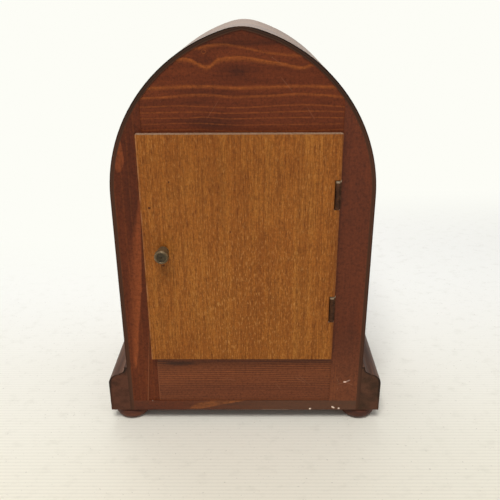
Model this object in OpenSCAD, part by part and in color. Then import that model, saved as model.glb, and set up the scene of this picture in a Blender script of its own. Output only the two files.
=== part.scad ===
// Chiming mantel clock: a lancet-topped wooden case with a hinged back door, and an eight-day
// movement with three spring barrels for the time, the hour strike and the quarter chime.
// Millimetres, +Z up. The dial faces -Y and the back door faces +Y. The origin is on the floor,
// under the middle of the clock's own box.

/* [Case] */
// Width of the case body
body_w = 228; // [222:1:240]
// Height of the case body above its feet
body_h = 360; // [350:1:380]
// Height where the straight sides end and the arch begins
shoulder_z = 222; // [205:1:230]
// Radius of the blunt point of the arch
tip_r = 45; // [35:1:55]
// Depth of the case body, front to back
body_d = 145; // [140:1:165]
// Thickness of the bent plywood skin
skin_t = 3.8; // [3.5:0.1:5]
// Thickness of the front panel
panel_t = 14; // [12:1:16]
// Thickness of the bottom board
board_t = 11; // [9:1:14]

/* [Back frame] */
// Width of the door opening between the stiles
opening_w = 167; // [164:1:172]
// Depth of the stiles
stile_d = 20; // [18:1:26]
// How far the rails lie in front of the stiles' back faces
rail_set = 0.7; // [0.3:0.1:1.5]
// Width, at its foot, of the tapered rebate on the knob stile
rebate_w = 13; // [8:1:15]

/* [Base] */
// How far the base moulding stands out from the case
base_proj = 19; // [16:0.5:22]
// Height of the moulding's upright face
plinth_h = 31; // [26:1:34]
// Radius of the rounded nose over the upright face
nose_r = 10.5; // [8:0.5:11]
// Radius of the hollow under the top fillet
cove_r = 6; // [5:0.5:6.5]
// Diameter of a bun foot
foot_d = 34; // [26:1:36]
// Height of a bun foot
foot_h = 13; // [10:1:16]

/* [Back door] */
// Height of the door's lower edge above the underside of the body
door_z = 63.5; // [60:0.5:68]
// Height of the door
door_h = 214; // [204:1:218]
// How far the door stands proud of the back frame
door_proud = 7; // [6:0.5:9]
// Thickness of the part of the door that enters the opening
door_inner_t = 5; // [4:0.5:7]
// How far the door laps over the frame on its three closing edges
door_lap = 4; // [3:0.5:6]
// Gap between the door's edge and the hinge stile
hinge_gap = 0.9; // [0.8:0.1:1.3]
// Diameter of the hinge barrel
barrel_d = 4.3; // [3.8:0.1:5]
// Length of a hinge
hinge_len = 25; // [20:1:30]
// Height of the lower hinge's middle
low_hinge_z = 116.5; // [100:0.5:125]
// Height of the upper hinge's middle
high_hinge_z = 225.5; // [215:0.5:240]
// Height of the knob
knob_z = 174.5; // [160:0.5:185]
// Distance from the knob to the door's closing edge
knob_in = 17.4; // [16:0.2:22]
// Diameter of the knob
knob_d = 12.6; // [11:0.2:15]
// Length of the knob in front of the door
knob_len = 15; // [13:0.5:18]

/* [Dial] */
// Height of the dial's middle above the underside of the body
dial_z = 205; // [200:1:210]
// Radius of the dial plate
dial_r = 77.5; // [76:0.5:80]
// Outer radius of the bezel
bezel_r = 88; // [86:0.5:92]
// Radius of the round opening in the front panel
port_r = 72; // [70:0.5:74]

/* [Movement] */
// Space between the movement plates
plate_gap = 36; // [35:0.5:42]
// Thickness of a movement plate
plate_t = 2.2; // [1.8:0.1:3]
// Half the width of the plates
plate_half_w = 82; // [80:0.5:83]
// How far the plates reach below the hands' centre
plate_down = 76; // [75:0.5:80]
// How far the plates reach above the hands' centre
plate_up = 58; // [56:0.5:64]
// Space between the front panel and the front plate
dial_gap = 14; // [13:0.5:18]
// Radius of a spring barrel
spring_barrel_r = 21; // [18:0.5:22]
// Radial clearance of a running fit
run_fit = 0.05; // [0.03:0.01:0.08]
// Play between the teeth of a wheel and its pinion, at the pitch circle
tooth_play = 0.1; // [0.06:0.01:0.14]

/* [Pendulum] */
// Length from the bending point of the spring to the middle of the bob
pendulum_len = 165.6; // [150:0.1:170]
// Diameter of the bob
bob_d = 36; // [30:1:42]
// Thickness of the bob
bob_t = 11; // [8:0.5:14]
// Diameter of the rod
rod_d = 2.4; // [2:0.1:3]

/* [Gongs] */
// Distance between neighbouring gong rods
gong_pitch = 9; // [8.6:0.1:9.6]
// Diameter of a gong rod
gong_d = 3; // [2.4:0.1:3.4]
// Length of the longest gong rod
gong_len = 160; // [140:1:165]
// Height of the gong rods above the underside of the body
gong_z = 86; // [80:1:88]
// Diameter of a hammer head
head_d = 7.4; // [6.5:0.1:7.6]

/* [Hidden] */
$fn = 64;

// Depth: y_back is the back plane of the frame, y_face the front of the panel.
y_back = (body_d + base_proj - door_proud - knob_len) / 2;
y_face = y_back - body_d;
y_panel = y_face + panel_t;
y_front = y_panel + dial_gap;
y_in = y_front + plate_t;
y_out = y_in + plate_gap;
y_rear = y_out + plate_t;

// Outline of the arch: two side arcs of radius arch_r meet the blunt tip arc without a kink.
half_w = body_w / 2;
tip_z = body_h - tip_r;
rise = tip_z - shoulder_z;
arch_r = (half_w * half_w + rise * rise - tip_r * tip_r) / (2 * (half_w - tip_r));
arch_x = half_w - arch_r;
join_z = tip_z + tip_r * rise / (arch_r - tip_r);

// Door, its opening and its hinge line. The hinges are on the -X side.
side_x = opening_w / 2;
door_x0 = -side_x + hinge_gap;
door_x1 = side_x + door_lap;
open_z0 = door_z + door_lap;
open_z1 = door_z + door_h - door_lap;
door_gap = 0.4;
axis_x = door_x0 + 0.2 + barrel_d / 2;
axis_y = y_back + door_proud - 1.2;
leaf_t = 0.45;
hinge_pin_d = 1.8;
pin_end = 0.3;
knob_x = door_x1 - knob_in;
latch_t = 2;
latch_gap = 0.3;
latch_step = 1;
tongue_len = knob_in + 2.4;
tongue_w = 6;
rebate_h = knob_z - 5;
recess_in = tongue_len - knob_in + door_lap + 7;
recess_low = tongue_w / 2 + 5;
recess_up = tongue_len;
spindle_d = 4;
spindle_len = door_proud + door_inner_t + latch_step + latch_t + 0.7;

// Heights in the movement are measured from the floor.
zc = foot_h + dial_z;
hub = [0, zc];

// Tooth numbers and modules. The first number drives the second.
great_n = 78;
great_m = 0.6;
leaf_n = 12;
slow_n = 60;
centre_n = 80;
centre_m = 0.44;
third_n = 84;
third_m = 0.4;
small_n = 8;
escape_n = 42;
escape_r = 12.5;
chime_n = 72;
chime_m = 0.5;
fly_n = 48;
fly_m = 0.4;
cannon_n = 20;
minute_n = 60;
motion_m = 0.6;
nut_n = 12;
hour_n = 48;
hour_m = motion_m * (cannon_n + minute_n) / (nut_n + hour_n);

function polar(r, a) = [r * cos(a), r * sin(a)];
function span(n, k, m) = m * (n + k) / 2;
function heading(a, b) = atan2(b[1] - a[1], b[0] - a[0]);
// The point at distance ra from a and rb from b, on the chosen side of the line between them.
function meet(a, ra, b, rb, side) =
  let (d = norm(b - a), u = (b - a) / d, s = (ra * ra - rb * rb + d * d) / (2 * d))
  a + s * u + side * sqrt(ra * ra - s * s) * [-u[1], u[0]];

time_c = hub + [0, -48];
strike_c = hub + [-46, -16];
chime_c = hub + [46, -16];
second_c = meet(time_c, span(great_n, leaf_n, great_m), hub, span(slow_n, leaf_n, great_m), -1);
third_c = hub + polar(span(centre_n, small_n, centre_m), 60);
escape_c = [0, third_c[1] + sqrt(pow(span(third_n, small_n, third_m), 2) - pow(third_c[0], 2))];
pallet_a = 7.5 * 180 / escape_n;
anchor_c = escape_c + [0, escape_r / cos(pallet_a)];
drum_c = hub + [40, -58];
chime_2c = meet(chime_c, span(great_n, leaf_n, great_m), drum_c, span(chime_n, leaf_n, chime_m), 1);
strike_2c = [-chime_2c[0], chime_2c[1]];
chime_3c = chime_2c + polar(span(chime_n, small_n, chime_m), -30);
strike_3c = [-chime_3c[0], chime_3c[1]];
chime_fc = chime_3c + polar(span(fly_n, small_n, fly_m), 60);
strike_fc = [-chime_fc[0], chime_fc[1]];
hammer_c = hub + [26, -70];
motion_c = hub + polar(span(cannon_n, minute_n, motion_m), 135);

// Depths inside the movement, from the inner face of the front plate.
great_y = y_in + 26;
slow_y = y_in + 30.5;
wheel_t = 1.5;
thin_t = 1.2;
pivot_d = 1.3;
staff_d = 2.4;
wind_d = 5;

// Hammers: one track on the drum for each, and one rod under each head.
track_y = [for (i = [0:4]) y_in + 6.5 + 4.6 * i];
gong_y = [for (i = [0:4]) (y_in + y_out) / 2 + (i - 2) * gong_pitch];
head_x = hub[0] + 58;
head_h = 11;
tip_h = 1.5;
strike_gap = 0.8;
gong_top = foot_h + gong_z + gong_d / 2;
drum_r = 7.6;
pin_h = 1.8;
pin_reach = 0.4;
// The five changes of the quarter chime, each a run over the four gongs.
CHANGES = [[1, 2, 3, 4], [3, 1, 2, 4], [3, 2, 1, 3], [1, 3, 2, 4], [4, 2, 1, 3]];
pin_circle = 15.4;
lift_pin_d = 1.2;
vane = 11;

// An upright drawing in X and Z, carried from depth y0 back to depth y1.
module prism_y(y0, y1) {
  translate([0, y1, 0])
    rotate([90, 0, 0])
      linear_extrude(y1 - y0)
        children();
}

// A round bar along Y at a point of the X-Z plane.
module bar_y(p, y0, y1, d) {
  translate([p[0], y1, p[1]])
    rotate([90, 0, 0])
      cylinder(d = d, h = y1 - y0);
}

// A turned form whose profile height runs towards the viewer of the dial.
module turned_front(p, y) {
  translate([p[0], y, p[1]])
    rotate([90, 0, 0])
      children();
}

// A round bar between two points.
module rod_between(a, b, d) {
  v = b - a;
  length = norm(v);
  translate(a)
    rotate([0, acos(v[2] / length), atan2(v[1], v[0])])
      cylinder(d = d, h = length, $fn = 24);
}

// A bent wire through a list of points.
module wire(points, d) {
  for (i = [0:len(points) - 2])
    rod_between(points[i], points[i + 1], d);
  for (i = [1:len(points) - 2])
    translate(points[i])
      sphere(d = d * 1.15, $fn = 24);
}

// A flat bar with round ends, drawn between two points.
module strap2d(a, b, w) {
  translate(a)
    rotate(heading(a, b))
      translate([0, -w / 2])
        square([norm(b - a), w]);
  translate(a)
    circle(d = w);
  translate(b)
    circle(d = w);
}

// A flat strip bent at each of a list of points, with a slight swell at every bend.
module strip2d(points, w) {
  for (i = [0:len(points) - 2])
    translate(points[i])
      rotate(heading(points[i], points[i + 1]))
        translate([0, -w / 2])
          square([norm(points[i + 1] - points[i]), w]);
  for (p = points)
    translate(p)
      circle(d = w * 1.06);
}

// The lancet outline, drawn in by an inset all round except at the bottom.
module lancet2d(inset) {
  w = half_w - inset;
  translate([-w, 0])
    square([2 * w, shoulder_z + 0.01]);
  for (side = [-1, 1])
    intersection() {
      translate([side * arch_x, shoulder_z])
        circle(arch_r - inset, $fn = 256);
      translate([side > 0 ? -0.01 : -w, shoulder_z])
        square([w + 0.01, join_z - shoulder_z]);
    }
  intersection() {
    translate([0, tip_z])
      circle(tip_r - inset, $fn = 128);
    translate([-tip_r, join_z - 0.01])
      square([2 * tip_r, tip_r]);
  }
}

// Sizes of the case count from its underside, and this sets them on the feet.
module on_feet() {
  translate([0, 0, foot_h])
    children();
}

// Involute wheels. The addendum stays short of the pinion's base circle, so small pinions mesh.
pressure = 20;
function inv(a) = tan(a) * 180 / PI - a;
function base_r(n, m) = m * n / 2 * cos(pressure);
function slope_at(r, rb) = r > rb ? acos(rb / r) : 0;
function half_tooth(n, m, r) =
  90 / n - tooth_play / 4 / (m * n / 2) * 180 / PI + inv(pressure) - inv(slope_at(r, base_r(n, m)));
function reach(n, k, m) =
  min(m, 0.96 * (sqrt(pow(base_r(n, m), 2) + pow(span(n, k, m) * sin(pressure), 2)) - m * n / 2));
function leaf_reach(m) = 0.8 * m;

module toothed2d(n, m, tip, root, phase) {
  rp = m * n / 2;
  radii = [rp - root, max(rp - root + 0.05, min(base_r(n, m) * 1.004, rp)), rp + tip * 0.45, rp + tip];
  polygon([for (i = [0:n - 1]) each concat(
    [for (r = radii) polar(r, phase + 360 * i / n - half_tooth(n, m, r))],
    [for (k = [3:-1:0]) polar(radii[k], phase + 360 * i / n + half_tooth(n, m, radii[k]))])]);
}

module wheel2d(n, k, m, phase) {
  toothed2d(n, m, reach(n, k, m), leaf_reach(m) + 0.3 * m, phase);
}

module pinion2d(n, k, m, phase) {
  toothed2d(k, m, leaf_reach(m), reach(n, k, m) + 0.3 * m, phase);
}

// The pinion's turn that puts a gap where the wheel has a tooth, on the line between them.
function mesh(a, b, n, phase, k) =
  let (t = heading(a, b), part = (t - phase) * n / 360)
  t + 180 + (part - floor(part)) * 360 / k + 180 / k;

// The openings between the spokes of a wheel.
module crossings2d(r_in, r_out, spokes, w) {
  difference() {
    circle(r_out);
    circle(r_in);
    for (i = [0:spokes - 1])
      rotate(360 * i / spokes)
        translate([0, -w / 2])
          square([r_out + 1, w]);
  }
}

// A wheel with crossings, in place.
module wheel(p, n, k, m, y, t, phase, spokes) {
  rim = m * n / 2 - 2.4 * m;
  translate([p[0], 0, p[1]])
    prism_y(y, y + t)
      difference() {
        wheel2d(n, k, m, phase);
        crossings2d(max(3.4, rim * 0.26), rim - 0.8, spokes, 1.6);
      }
}

module pinion(p, n, k, m, y0, y1, phase) {
  translate([p[0], 0, p[1]])
    prism_y(y0, y1)
      pinion2d(n, k, m, phase);
}

// An arbor between the plates, with its pivots in them.
module staff(p) {
  bar_y(p, y_in + 0.3, y_out - 0.3, staff_d);
  bar_y(p, y_in - plate_t + 0.2, y_out + plate_t - 0.2, pivot_d);
}

// Case.
module case_skin() {
  color([0.33, 0.16, 0.10])
    on_feet()
      prism_y(y_face, y_back)
        difference() {
          lancet2d(0);
          lancet2d(skin_t);
          translate([skin_t - half_w, -1])
            square([body_w - 2 * skin_t, 2]);
        }
}

module front_panel() {
  color([0.40, 0.20, 0.12])
    on_feet()
      prism_y(y_face, y_panel)
        difference() {
          lancet2d(skin_t);
          translate([-half_w, -1])
            square([body_w, board_t + 1]);
          translate([0, dial_z])
            circle(port_r, $fn = 128);
        }
}

module frame2d() {
  difference() {
    lancet2d(skin_t);
    translate([-half_w, -1])
      square([body_w, board_t + 1]);
  }
}

module left_stile() {
  color([0.36, 0.17, 0.11])
    on_feet()
      difference() {
        prism_y(y_back - stile_d, y_back)
          intersection() {
            frame2d();
            translate([side_x, 0])
              square([half_w, body_h]);
          }
        prism_y(y_back - 1, y_back + 1)
          polygon([[side_x - 1, -1], [side_x + rebate_w, -1], [side_x - 1, rebate_h]]);
        translate([side_x - 1, y_back - stile_d - 1, knob_z - recess_low])
          cube([recess_in + 1, stile_d + 1 - door_inner_t, recess_low + recess_up]);
      }
}

module right_stile() {
  color([0.36, 0.17, 0.11])
    on_feet()
      prism_y(y_back - stile_d, y_back)
        intersection() {
          frame2d();
          translate([-side_x - half_w, 0])
            square([half_w, body_h]);
        }
}

module top_rail() {
  color([0.38, 0.18, 0.11])
    on_feet()
      prism_y(y_back - stile_d + 1, y_back - rail_set)
        intersection() {
          frame2d();
          translate([-side_x, open_z1])
            square([opening_w, body_h]);
        }
}

module bottom_rail() {
  color([0.38, 0.18, 0.11])
    on_feet()
      translate([-side_x, y_back - stile_d + 1, board_t])
        cube([opening_w, stile_d - 1 - rail_set, open_z0 - board_t]);
}

// The bottom board, with the riser that is glued on it for the gong block.
block_x0 = head_x + 14;
block_x1 = half_w - skin_t - 2;
block_h = 24;
block_post = 14;
gong_seat = 10;
gong_drop = 7;
riser_top = gong_z - 14;
gong_mid = (y_in + y_out) / 2;
block_half_y = gong_pitch * 2 + 8;

module bottom_board() {
  inner = half_w - skin_t;
  color([0.42, 0.24, 0.15])
    on_feet() {
      translate([-inner, y_face, 0])
        cube([2 * inner, body_d, board_t]);
      translate([block_x0 - 2, gong_mid - block_half_y - 3, board_t])
        cube([block_x1 - block_x0 + 2, 2 * block_half_y + 6, riser_top - board_t]);
    }
}

// Section of the base moulding: upright face, rounded nose, fillet, hollow and top fillet.
module moulding2d() {
  nose_x = base_proj - nose_r;
  step_z = plinth_h + nose_r + 1.2;
  top_x = 2.7;
  square([base_proj, plinth_h]);
  intersection() {
    translate([nose_x, plinth_h])
      circle(nose_r);
    translate([nose_x, plinth_h - 0.01])
      square([nose_r, nose_r + 0.01]);
  }
  translate([0, plinth_h - 0.01])
    square([nose_x, nose_r + 1.21]);
  difference() {
    translate([0, step_z - 0.01])
      square([top_x + cove_r - 1, cove_r + 1.2]);
    translate([top_x + cove_r, step_z + cove_r])
      circle(cove_r);
    translate([top_x, step_z + cove_r])
      square([cove_r, 2]);
  }
}

module side_moulding() {
  on_feet()
    intersection() {
      translate([half_w, 0, 0])
        prism_y(y_face - base_proj, y_back)
          moulding2d();
      linear_extrude(80)
        polygon([[half_w, y_back], [half_w + base_proj, y_back],
          [half_w + base_proj, y_face - base_proj], [half_w, y_face]]);
    }
}

module left_moulding() {
  color([0.32, 0.16, 0.10])
    side_moulding();
}

module right_moulding() {
  color([0.32, 0.16, 0.10])
    mirror([1, 0, 0])
      side_moulding();
}

module front_moulding() {
  color([0.32, 0.16, 0.10])
    on_feet()
      intersection() {
        translate([-half_w - base_proj, y_face, 0])
          rotate([90, 0, 90])
            linear_extrude(body_w + 2 * base_proj)
              mirror([1, 0])
                moulding2d();
        linear_extrude(80)
          polygon([[-half_w, y_face], [half_w, y_face],
            [half_w + base_proj, y_face - base_proj], [-half_w - base_proj, y_face - base_proj]]);
      }
}

module bun_foot() {
  rotate_extrude() {
    square([(foot_d - foot_h) / 2, foot_h]);
    intersection() {
      translate([(foot_d - foot_h) / 2, foot_h / 2])
        circle(d = foot_h);
      square([foot_d, foot_h]);
    }
  }
}

module bun_feet() {
  color([0.25, 0.13, 0.09])
    for (x = [-1, 1])
      for (y = [y_back - foot_d / 2 - 0.5, y_face + 3])
        translate([x * (half_w + 0.5), y, 0])
          bun_foot();
}

// Back door.
module hinge_at() {
  for (z = [low_hinge_z, high_hinge_z])
    translate([axis_x, axis_y, foot_h + z - hinge_len / 2])
      children();
}

module back_door() {
  notch = barrel_d / 2 + 0.45;
  color([0.55, 0.34, 0.17])
    difference() {
      on_feet()
        union() {
          translate([door_x0, y_back, door_z])
            cube([door_x1 - door_x0, door_proud, door_h]);
          translate([door_x0, y_back - door_inner_t, open_z0 + door_gap])
            cube([side_x - door_gap - door_x0, door_inner_t + 0.01,
              open_z1 - open_z0 - 2 * door_gap]);
        }
      hinge_at() {
        translate([-barrel_d, -notch, -pin_end - 0.3])
          cube([barrel_d + notch, 20, hinge_len + 2 * pin_end + 0.6]);
        translate([-barrel_d / 2 - leaf_t, -axis_y + y_back - door_inner_t - 1, -0.2])
          cube([leaf_t + 0.05, door_proud + door_inner_t + 1, hinge_len + 0.4]);
      }
      translate([knob_x, y_back + 10, foot_h + knob_z])
        rotate([90, 0, 0])
          cylinder(d = spindle_d + 2 * run_fit, h = 20);
    }
}

knuckle = (hinge_len - 0.4) / 3;

module door_hinge_leaves() {
  color([0.45, 0.34, 0.20])
    hinge_at() {
      difference() {
        union() {
          translate([0, 0, knuckle + 0.2])
            cylinder(d = barrel_d, h = knuckle);
          translate([-barrel_d / 2, -1, knuckle + 0.2])
            cube([0.8, 1, knuckle]);
        }
        translate([0, 0, -1])
          cylinder(d = hinge_pin_d + 2 * run_fit, h = hinge_len + 2);
      }
      translate([-barrel_d / 2 - leaf_t + 0.05, -axis_y + y_back - door_inner_t + 0.3, 0])
        cube([leaf_t, axis_y - y_back + door_inner_t - barrel_d / 2 - 0.6, hinge_len]);
      translate([-barrel_d / 2 - leaf_t + 0.05, -barrel_d / 2 - 1, knuckle + 0.2])
        cube([leaf_t, barrel_d / 2 + 1, knuckle]);
    }
}

module frame_hinge_leaves() {
  drop = axis_y - y_back + 11;
  color([0.45, 0.34, 0.20])
    hinge_at() {
      for (z = [0, 2 * (knuckle + 0.2)])
        translate([0, 0, z]) {
          cylinder(d = barrel_d, h = knuckle);
          translate([-side_x - axis_x, -barrel_d / 2, 0])
            cube([side_x + axis_x, 0.9, knuckle]);
        }
      translate([0, 0, -pin_end])
        cylinder(d = hinge_pin_d, h = hinge_len + 2 * pin_end);
      translate([-side_x - axis_x, -drop, 0])
        cube([leaf_t, drop - barrel_d / 2 + 0.9, hinge_len]);
    }
}

// The knob: collar, groove, head with a dimpled face, turned in one with its spindle.
module door_knob() {
  r = knob_d / 2;
  l = knob_len;
  color([0.30, 0.24, 0.16])
    translate([knob_x, y_back + door_proud, foot_h + knob_z])
      rotate([-90, 0, 0]) {
        difference() {
          rotate_extrude()
            polygon([[0, 0], [r * 0.76, 0], [r * 0.76, 1.2], [r * 0.7, 2], [r * 0.7, l * 0.3],
              [r * 0.62, l * 0.38], [r * 0.5, l * 0.41], [r * 0.5, l * 0.46], [r * 0.66, l * 0.48],
              [r * 0.88, l * 0.55], [r, l * 0.66], [r, l * 0.84], [r * 0.95, l * 0.92],
              [r * 0.82, l * 0.98], [r * 0.74, l], [r * 0.68, l - 0.4], [0, l - 0.2]]);
          translate([0, 0, l - 1.2])
            cylinder(d1 = 1, d2 = 2, h = 1.3);
        }
        translate([0, 0, -spindle_len])
          cylinder(d = spindle_d, h = spindle_len + 0.5);
      }
}

module door_latch() {
  face_y = y_back - door_inner_t - latch_step;
  color([0.60, 0.47, 0.26])
    translate([knob_x, 0, foot_h + knob_z])
      difference() {
        union() {
          prism_y(face_y - latch_t, y_back - door_inner_t - latch_gap)
            circle(d = 10);
          prism_y(face_y - latch_t, face_y)
            union() {
              translate([-tongue_w / 2, 0])
                square([tongue_w, tongue_len - tongue_w / 2]);
              translate([0, tongue_len - tongue_w / 2])
                circle(d = tongue_w);
            }
        }
        prism_y(face_y - latch_t - 1, y_back)
          circle(d = spindle_d);
      }
}

// Dial side.
seat_t = 3;
bezel_h = 8;
dial_t = 1;
glass_rise = 6;
glass_t = 2;
glass_seat = 2.6;
bezel_y = y_face - seat_t - 0.3;
bezel_axis_x = -bezel_r - 2.2;
lip_r = bezel_r - 11;

module dial_plate() {
  color([0.93, 0.91, 0.84])
    prism_y(y_face - dial_t, y_face)
      translate(hub)
        difference() {
          circle(dial_r, $fn = 128);
          circle(d = 12);
          for (p = [time_c, strike_c, chime_c])
            translate(p - hub)
              circle(d = 9);
        }
}

module bezel_seat() {
  color([0.75, 0.58, 0.28]) {
    difference() {
      prism_y(y_face - seat_t, y_face)
        translate(hub) {
          difference() {
            circle(bezel_r - 1, $fn = 128);
            circle(dial_r + 0.1, $fn = 128);
          }
          translate([-bezel_r - 3.5, -12])
            square([8, 24]);
        }
      translate([bezel_axis_x, bezel_y, zc - 6.2])
        cylinder(r = 2.3, h = 12.4);
    }
    for (z = [-12, 6.2])
      translate([bezel_axis_x, bezel_y, zc + z])
        cylinder(r = 2, h = 5.8);
    translate([bezel_axis_x, bezel_y, zc - 12])
      cylinder(r = 0.9, h = 24);
  }
}

module bezel() {
  color([0.78, 0.60, 0.28]) {
    turned_front(hub, bezel_y)
      rotate_extrude($fn = 128)
        difference() {
          union() {
            translate([lip_r, 0])
              square([bezel_r - lip_r, 3]);
            intersection() {
              translate([bezel_r - 6, 2])
                circle(6);
              translate([lip_r, 2])
                square([bezel_r - lip_r, bezel_h]);
            }
            translate([lip_r + 2, 2])
              square([4, 4.2]);
          }
          translate([lip_r - 1, glass_seat])
            square([3.1, glass_t + 0.55]);
        }
    difference() {
      union() {
        translate([bezel_axis_x, bezel_y, zc - 5.9])
          cylinder(r = 2, h = 11.8);
        translate([bezel_axis_x, bezel_y - 2, zc - 5.9])
          cube([4.5, 1.7, 11.8]);
      }
      translate([bezel_axis_x, bezel_y, zc - 7])
        cylinder(r = 0.9 + run_fit, h = 14);
    }
    translate([bezel_r - 2, bezel_y - 2.6, zc - 5])
      cube([5, 2, 10]);
  }
}

module bezel_glass() {
  edge = lip_r + 2;
  dome = (edge * edge + glass_rise * glass_rise) / (2 * glass_rise);
  color([0.85, 0.92, 0.95, 0.4])
    turned_front(hub, bezel_y - glass_seat - 0.05)
      difference() {
        intersection() {
          cylinder(r = edge, h = glass_rise + glass_t, $fn = 128);
          translate([0, 0, glass_rise + glass_t - dome])
            sphere(r = dome, $fn = 256);
        }
        translate([0, 0, glass_rise - dome])
          sphere(r = dome, $fn = 256);
      }
}

// Hands. They are drawn pointing to twelve and set to ten past ten.
cannon_y = y_face - dial_t - 5.4;
hour_y = y_face - dial_t - 2.8;
hand_t = 0.8;
hour_a = 305;
minute_a = 60;

module hand2d(length, w) {
  circle(d = w * 2.4);
  translate([-w / 2, 0])
    square([w, length * 0.62]);
  translate([0, length * 0.62])
    polygon([[-w * 0.9, 0], [0, -w], [w * 0.9, 0], [w * 1.1, length * 0.1],
      [w * 0.35, length * 0.3], [0, length * 0.38], [-w * 0.35, length * 0.3],
      [-w * 1.1, length * 0.1]]);
}

module hour_hand() {
  color([0.10, 0.10, 0.12])
    prism_y(hour_y - hand_t, hour_y)
      translate(hub)
        difference() {
          rotate(-hour_a)
            hand2d(42, 5);
          circle(d = 7);
        }
}

module minute_hand() {
  color([0.10, 0.10, 0.12]) {
    prism_y(cannon_y - hand_t, cannon_y)
      translate(hub)
        difference() {
          rotate(-minute_a)
            hand2d(62, 4);
          circle(d = 4);
        }
    turned_front(hub, cannon_y - hand_t)
      difference() {
        union() {
          cylinder(d = 8, h = 1);
          cylinder(d = 6, h = 2.4);
        }
        translate([0, 0, -1])
          cylinder(d = 2.6, h = 2.6);
      }
  }
}

// Movement plates.
module plate2d() {
  corner = 6;
  translate(hub)
    difference() {
      translate([-plate_half_w, -plate_down])
        square([2 * plate_half_w, plate_down + plate_up]);
      for (s = [-1, 1])
        for (t = [[-plate_down, 1], [plate_up, -1]])
          translate([s * plate_half_w, t[0]])
            circle(r = corner);
    }
}

function pillar_at() = [for (s = [-1, 1]) each [[s * (plate_half_w - 9), zc - plate_down + 8],
  [s * (plate_half_w - 9), zc + plate_up - 9]]];
function post_at() = [for (s = [-1, 1]) each [[s * 56, zc - plate_down + 5.5],
  [s * 56, zc + plate_up - 6]]];
PIVOTS = [second_c, hub, third_c, escape_c, anchor_c, drum_c, chime_2c, chime_3c, chime_fc,
  strike_2c, strike_3c, strike_fc];

module plate_holes2d() {
  for (p = PIVOTS)
    translate(p)
      circle(d = pivot_d + 2 * run_fit, $fn = 32);
  for (p = [time_c, strike_c, chime_c])
    translate(p)
      circle(d = wind_d + 2 * run_fit);
  for (p = pillar_at())
    translate(p)
      circle(d = 4);
  translate(hammer_c)
    circle(d = 1.6);
}

module front_plate() {
  color([0.80, 0.64, 0.32])
    prism_y(y_front, y_in)
      difference() {
        plate2d();
        plate_holes2d();
        translate(hub)
          circle(d = staff_d + 2 * run_fit);
        for (p = post_at())
          translate(p)
            circle(d = 3);
      }
  color([0.80, 0.64, 0.32])
    minute_stud();
}

module back_plate() {
  color([0.80, 0.64, 0.32])
    prism_y(y_out, y_rear)
      difference() {
        plate2d();
        plate_holes2d();
        translate(anchor_c)
          circle(d = 5);
        for (s = [-1, 1])
          translate(hub + [s * 36, 30])
            intersection() {
              circle(r = 17);
              translate([-15, -12])
                square([30, 26]);
            }
      }
}

module plate_pillars() {
  color([0.72, 0.56, 0.28])
    for (p = pillar_at()) {
      bar_y(p, y_in, y_out, 8);
      bar_y(p, y_front - 4, y_rear + 4, 4);
      for (y = [y_front - 3, y_rear])
        translate([p[0], y + 3, p[1]])
          rotate([90, 0, 0])
            cylinder(d = 8, h = 3, $fn = 6);
    }
}

module mounting_posts() {
  color([0.62, 0.60, 0.56])
    for (p = post_at()) {
      bar_y(p, y_panel, y_front, 9);
      bar_y(p, y_front - 1, y_in + 1.5, 3);
      bar_y(p, y_in, y_in + 1.5, 6);
    }
}

module hammer_arbor() {
  color([0.60, 0.60, 0.62]) {
    bar_y(hammer_c, y_in, y_out, 2.6);
    bar_y(hammer_c, y_front, y_rear, 1.6);
  }
}

// The cock bridges the anchor's arbor and holds the pendulum's spring in its slit.
crutch_y = y_rear + 2.6;
cock_y = y_rear + 6;
rod_y = y_rear + 12;
spring_w = 5;
spring_t = 0.3;

module pendulum_cock() {
  color([0.72, 0.56, 0.28])
    difference() {
      union() {
        for (s = [-1, 1])
          translate([s * 13 - 3, y_rear, anchor_c[1] - 3])
            cube([6, cock_y - y_rear, 12]);
        translate([-16, cock_y, anchor_c[1] - 5])
          cube([32, 2, 16]);
        translate([-4, cock_y + 2, anchor_c[1] + 3])
          cube([8, rod_y + spring_w / 2 + 1 - cock_y - 2, 8]);
      }
      translate([0, cock_y + 3, anchor_c[1]])
        rotate([90, 0, 0])
          cylinder(d = pivot_d + 2 * run_fit, h = 4, $fn = 32);
      translate([-0.6, rod_y - spring_w / 2 - 0.4, anchor_c[1]])
        cube([1.2, spring_w + 4, 9]);
    }
}

// Ratchet work on the back plate: a click and its spring for each winding arbor.
ratchet_n = 30;
ratchet_r = 11;
ratchet_y = y_rear + 0.5;
click_r = 17;
click_a = 118;

module click_at(p) {
  foot = p + polar(click_r + 5, click_a);
  nib = p + polar(ratchet_r + 2.3, click_a - 26);
  bar_y(foot, y_rear, y_rear + 3.4, 3);
  prism_y(ratchet_y, ratchet_y + 1.6) {
    strap2d(foot, p + polar(ratchet_r + 5.5, click_a - 14), 4);
    strap2d(p + polar(ratchet_r + 5.5, click_a - 14), nib, 3.4);
  }
  spring = foot + polar(9, click_a + 40);
  bar_y(spring, y_rear, y_rear + 3, 3);
  prism_y(ratchet_y + 0.2, ratchet_y + 1.2)
    strap2d(spring, foot + [0, 2.2], 0.9);
}

module clicks() {
  color([0.62, 0.62, 0.64])
    for (p = [time_c, strike_c, chime_c])
      click_at(p);
}

// Motion work between the front plate and the dial.
module cannon_pinion() {
  color([0.74, 0.58, 0.30])
    difference() {
      union() {
        translate([0, 0, zc])
          prism_y(y_front - 4, y_front - 2)
            pinion2d(minute_n, cannon_n, motion_m,
              mesh(motion_c, hub, minute_n, 0, cannon_n));
        bar_y(hub, cannon_y - hand_t, y_front - 0.3, 4);
      }
      bar_y(hub, cannon_y - 9, y_in, staff_d + 0.01);
    }
}

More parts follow.
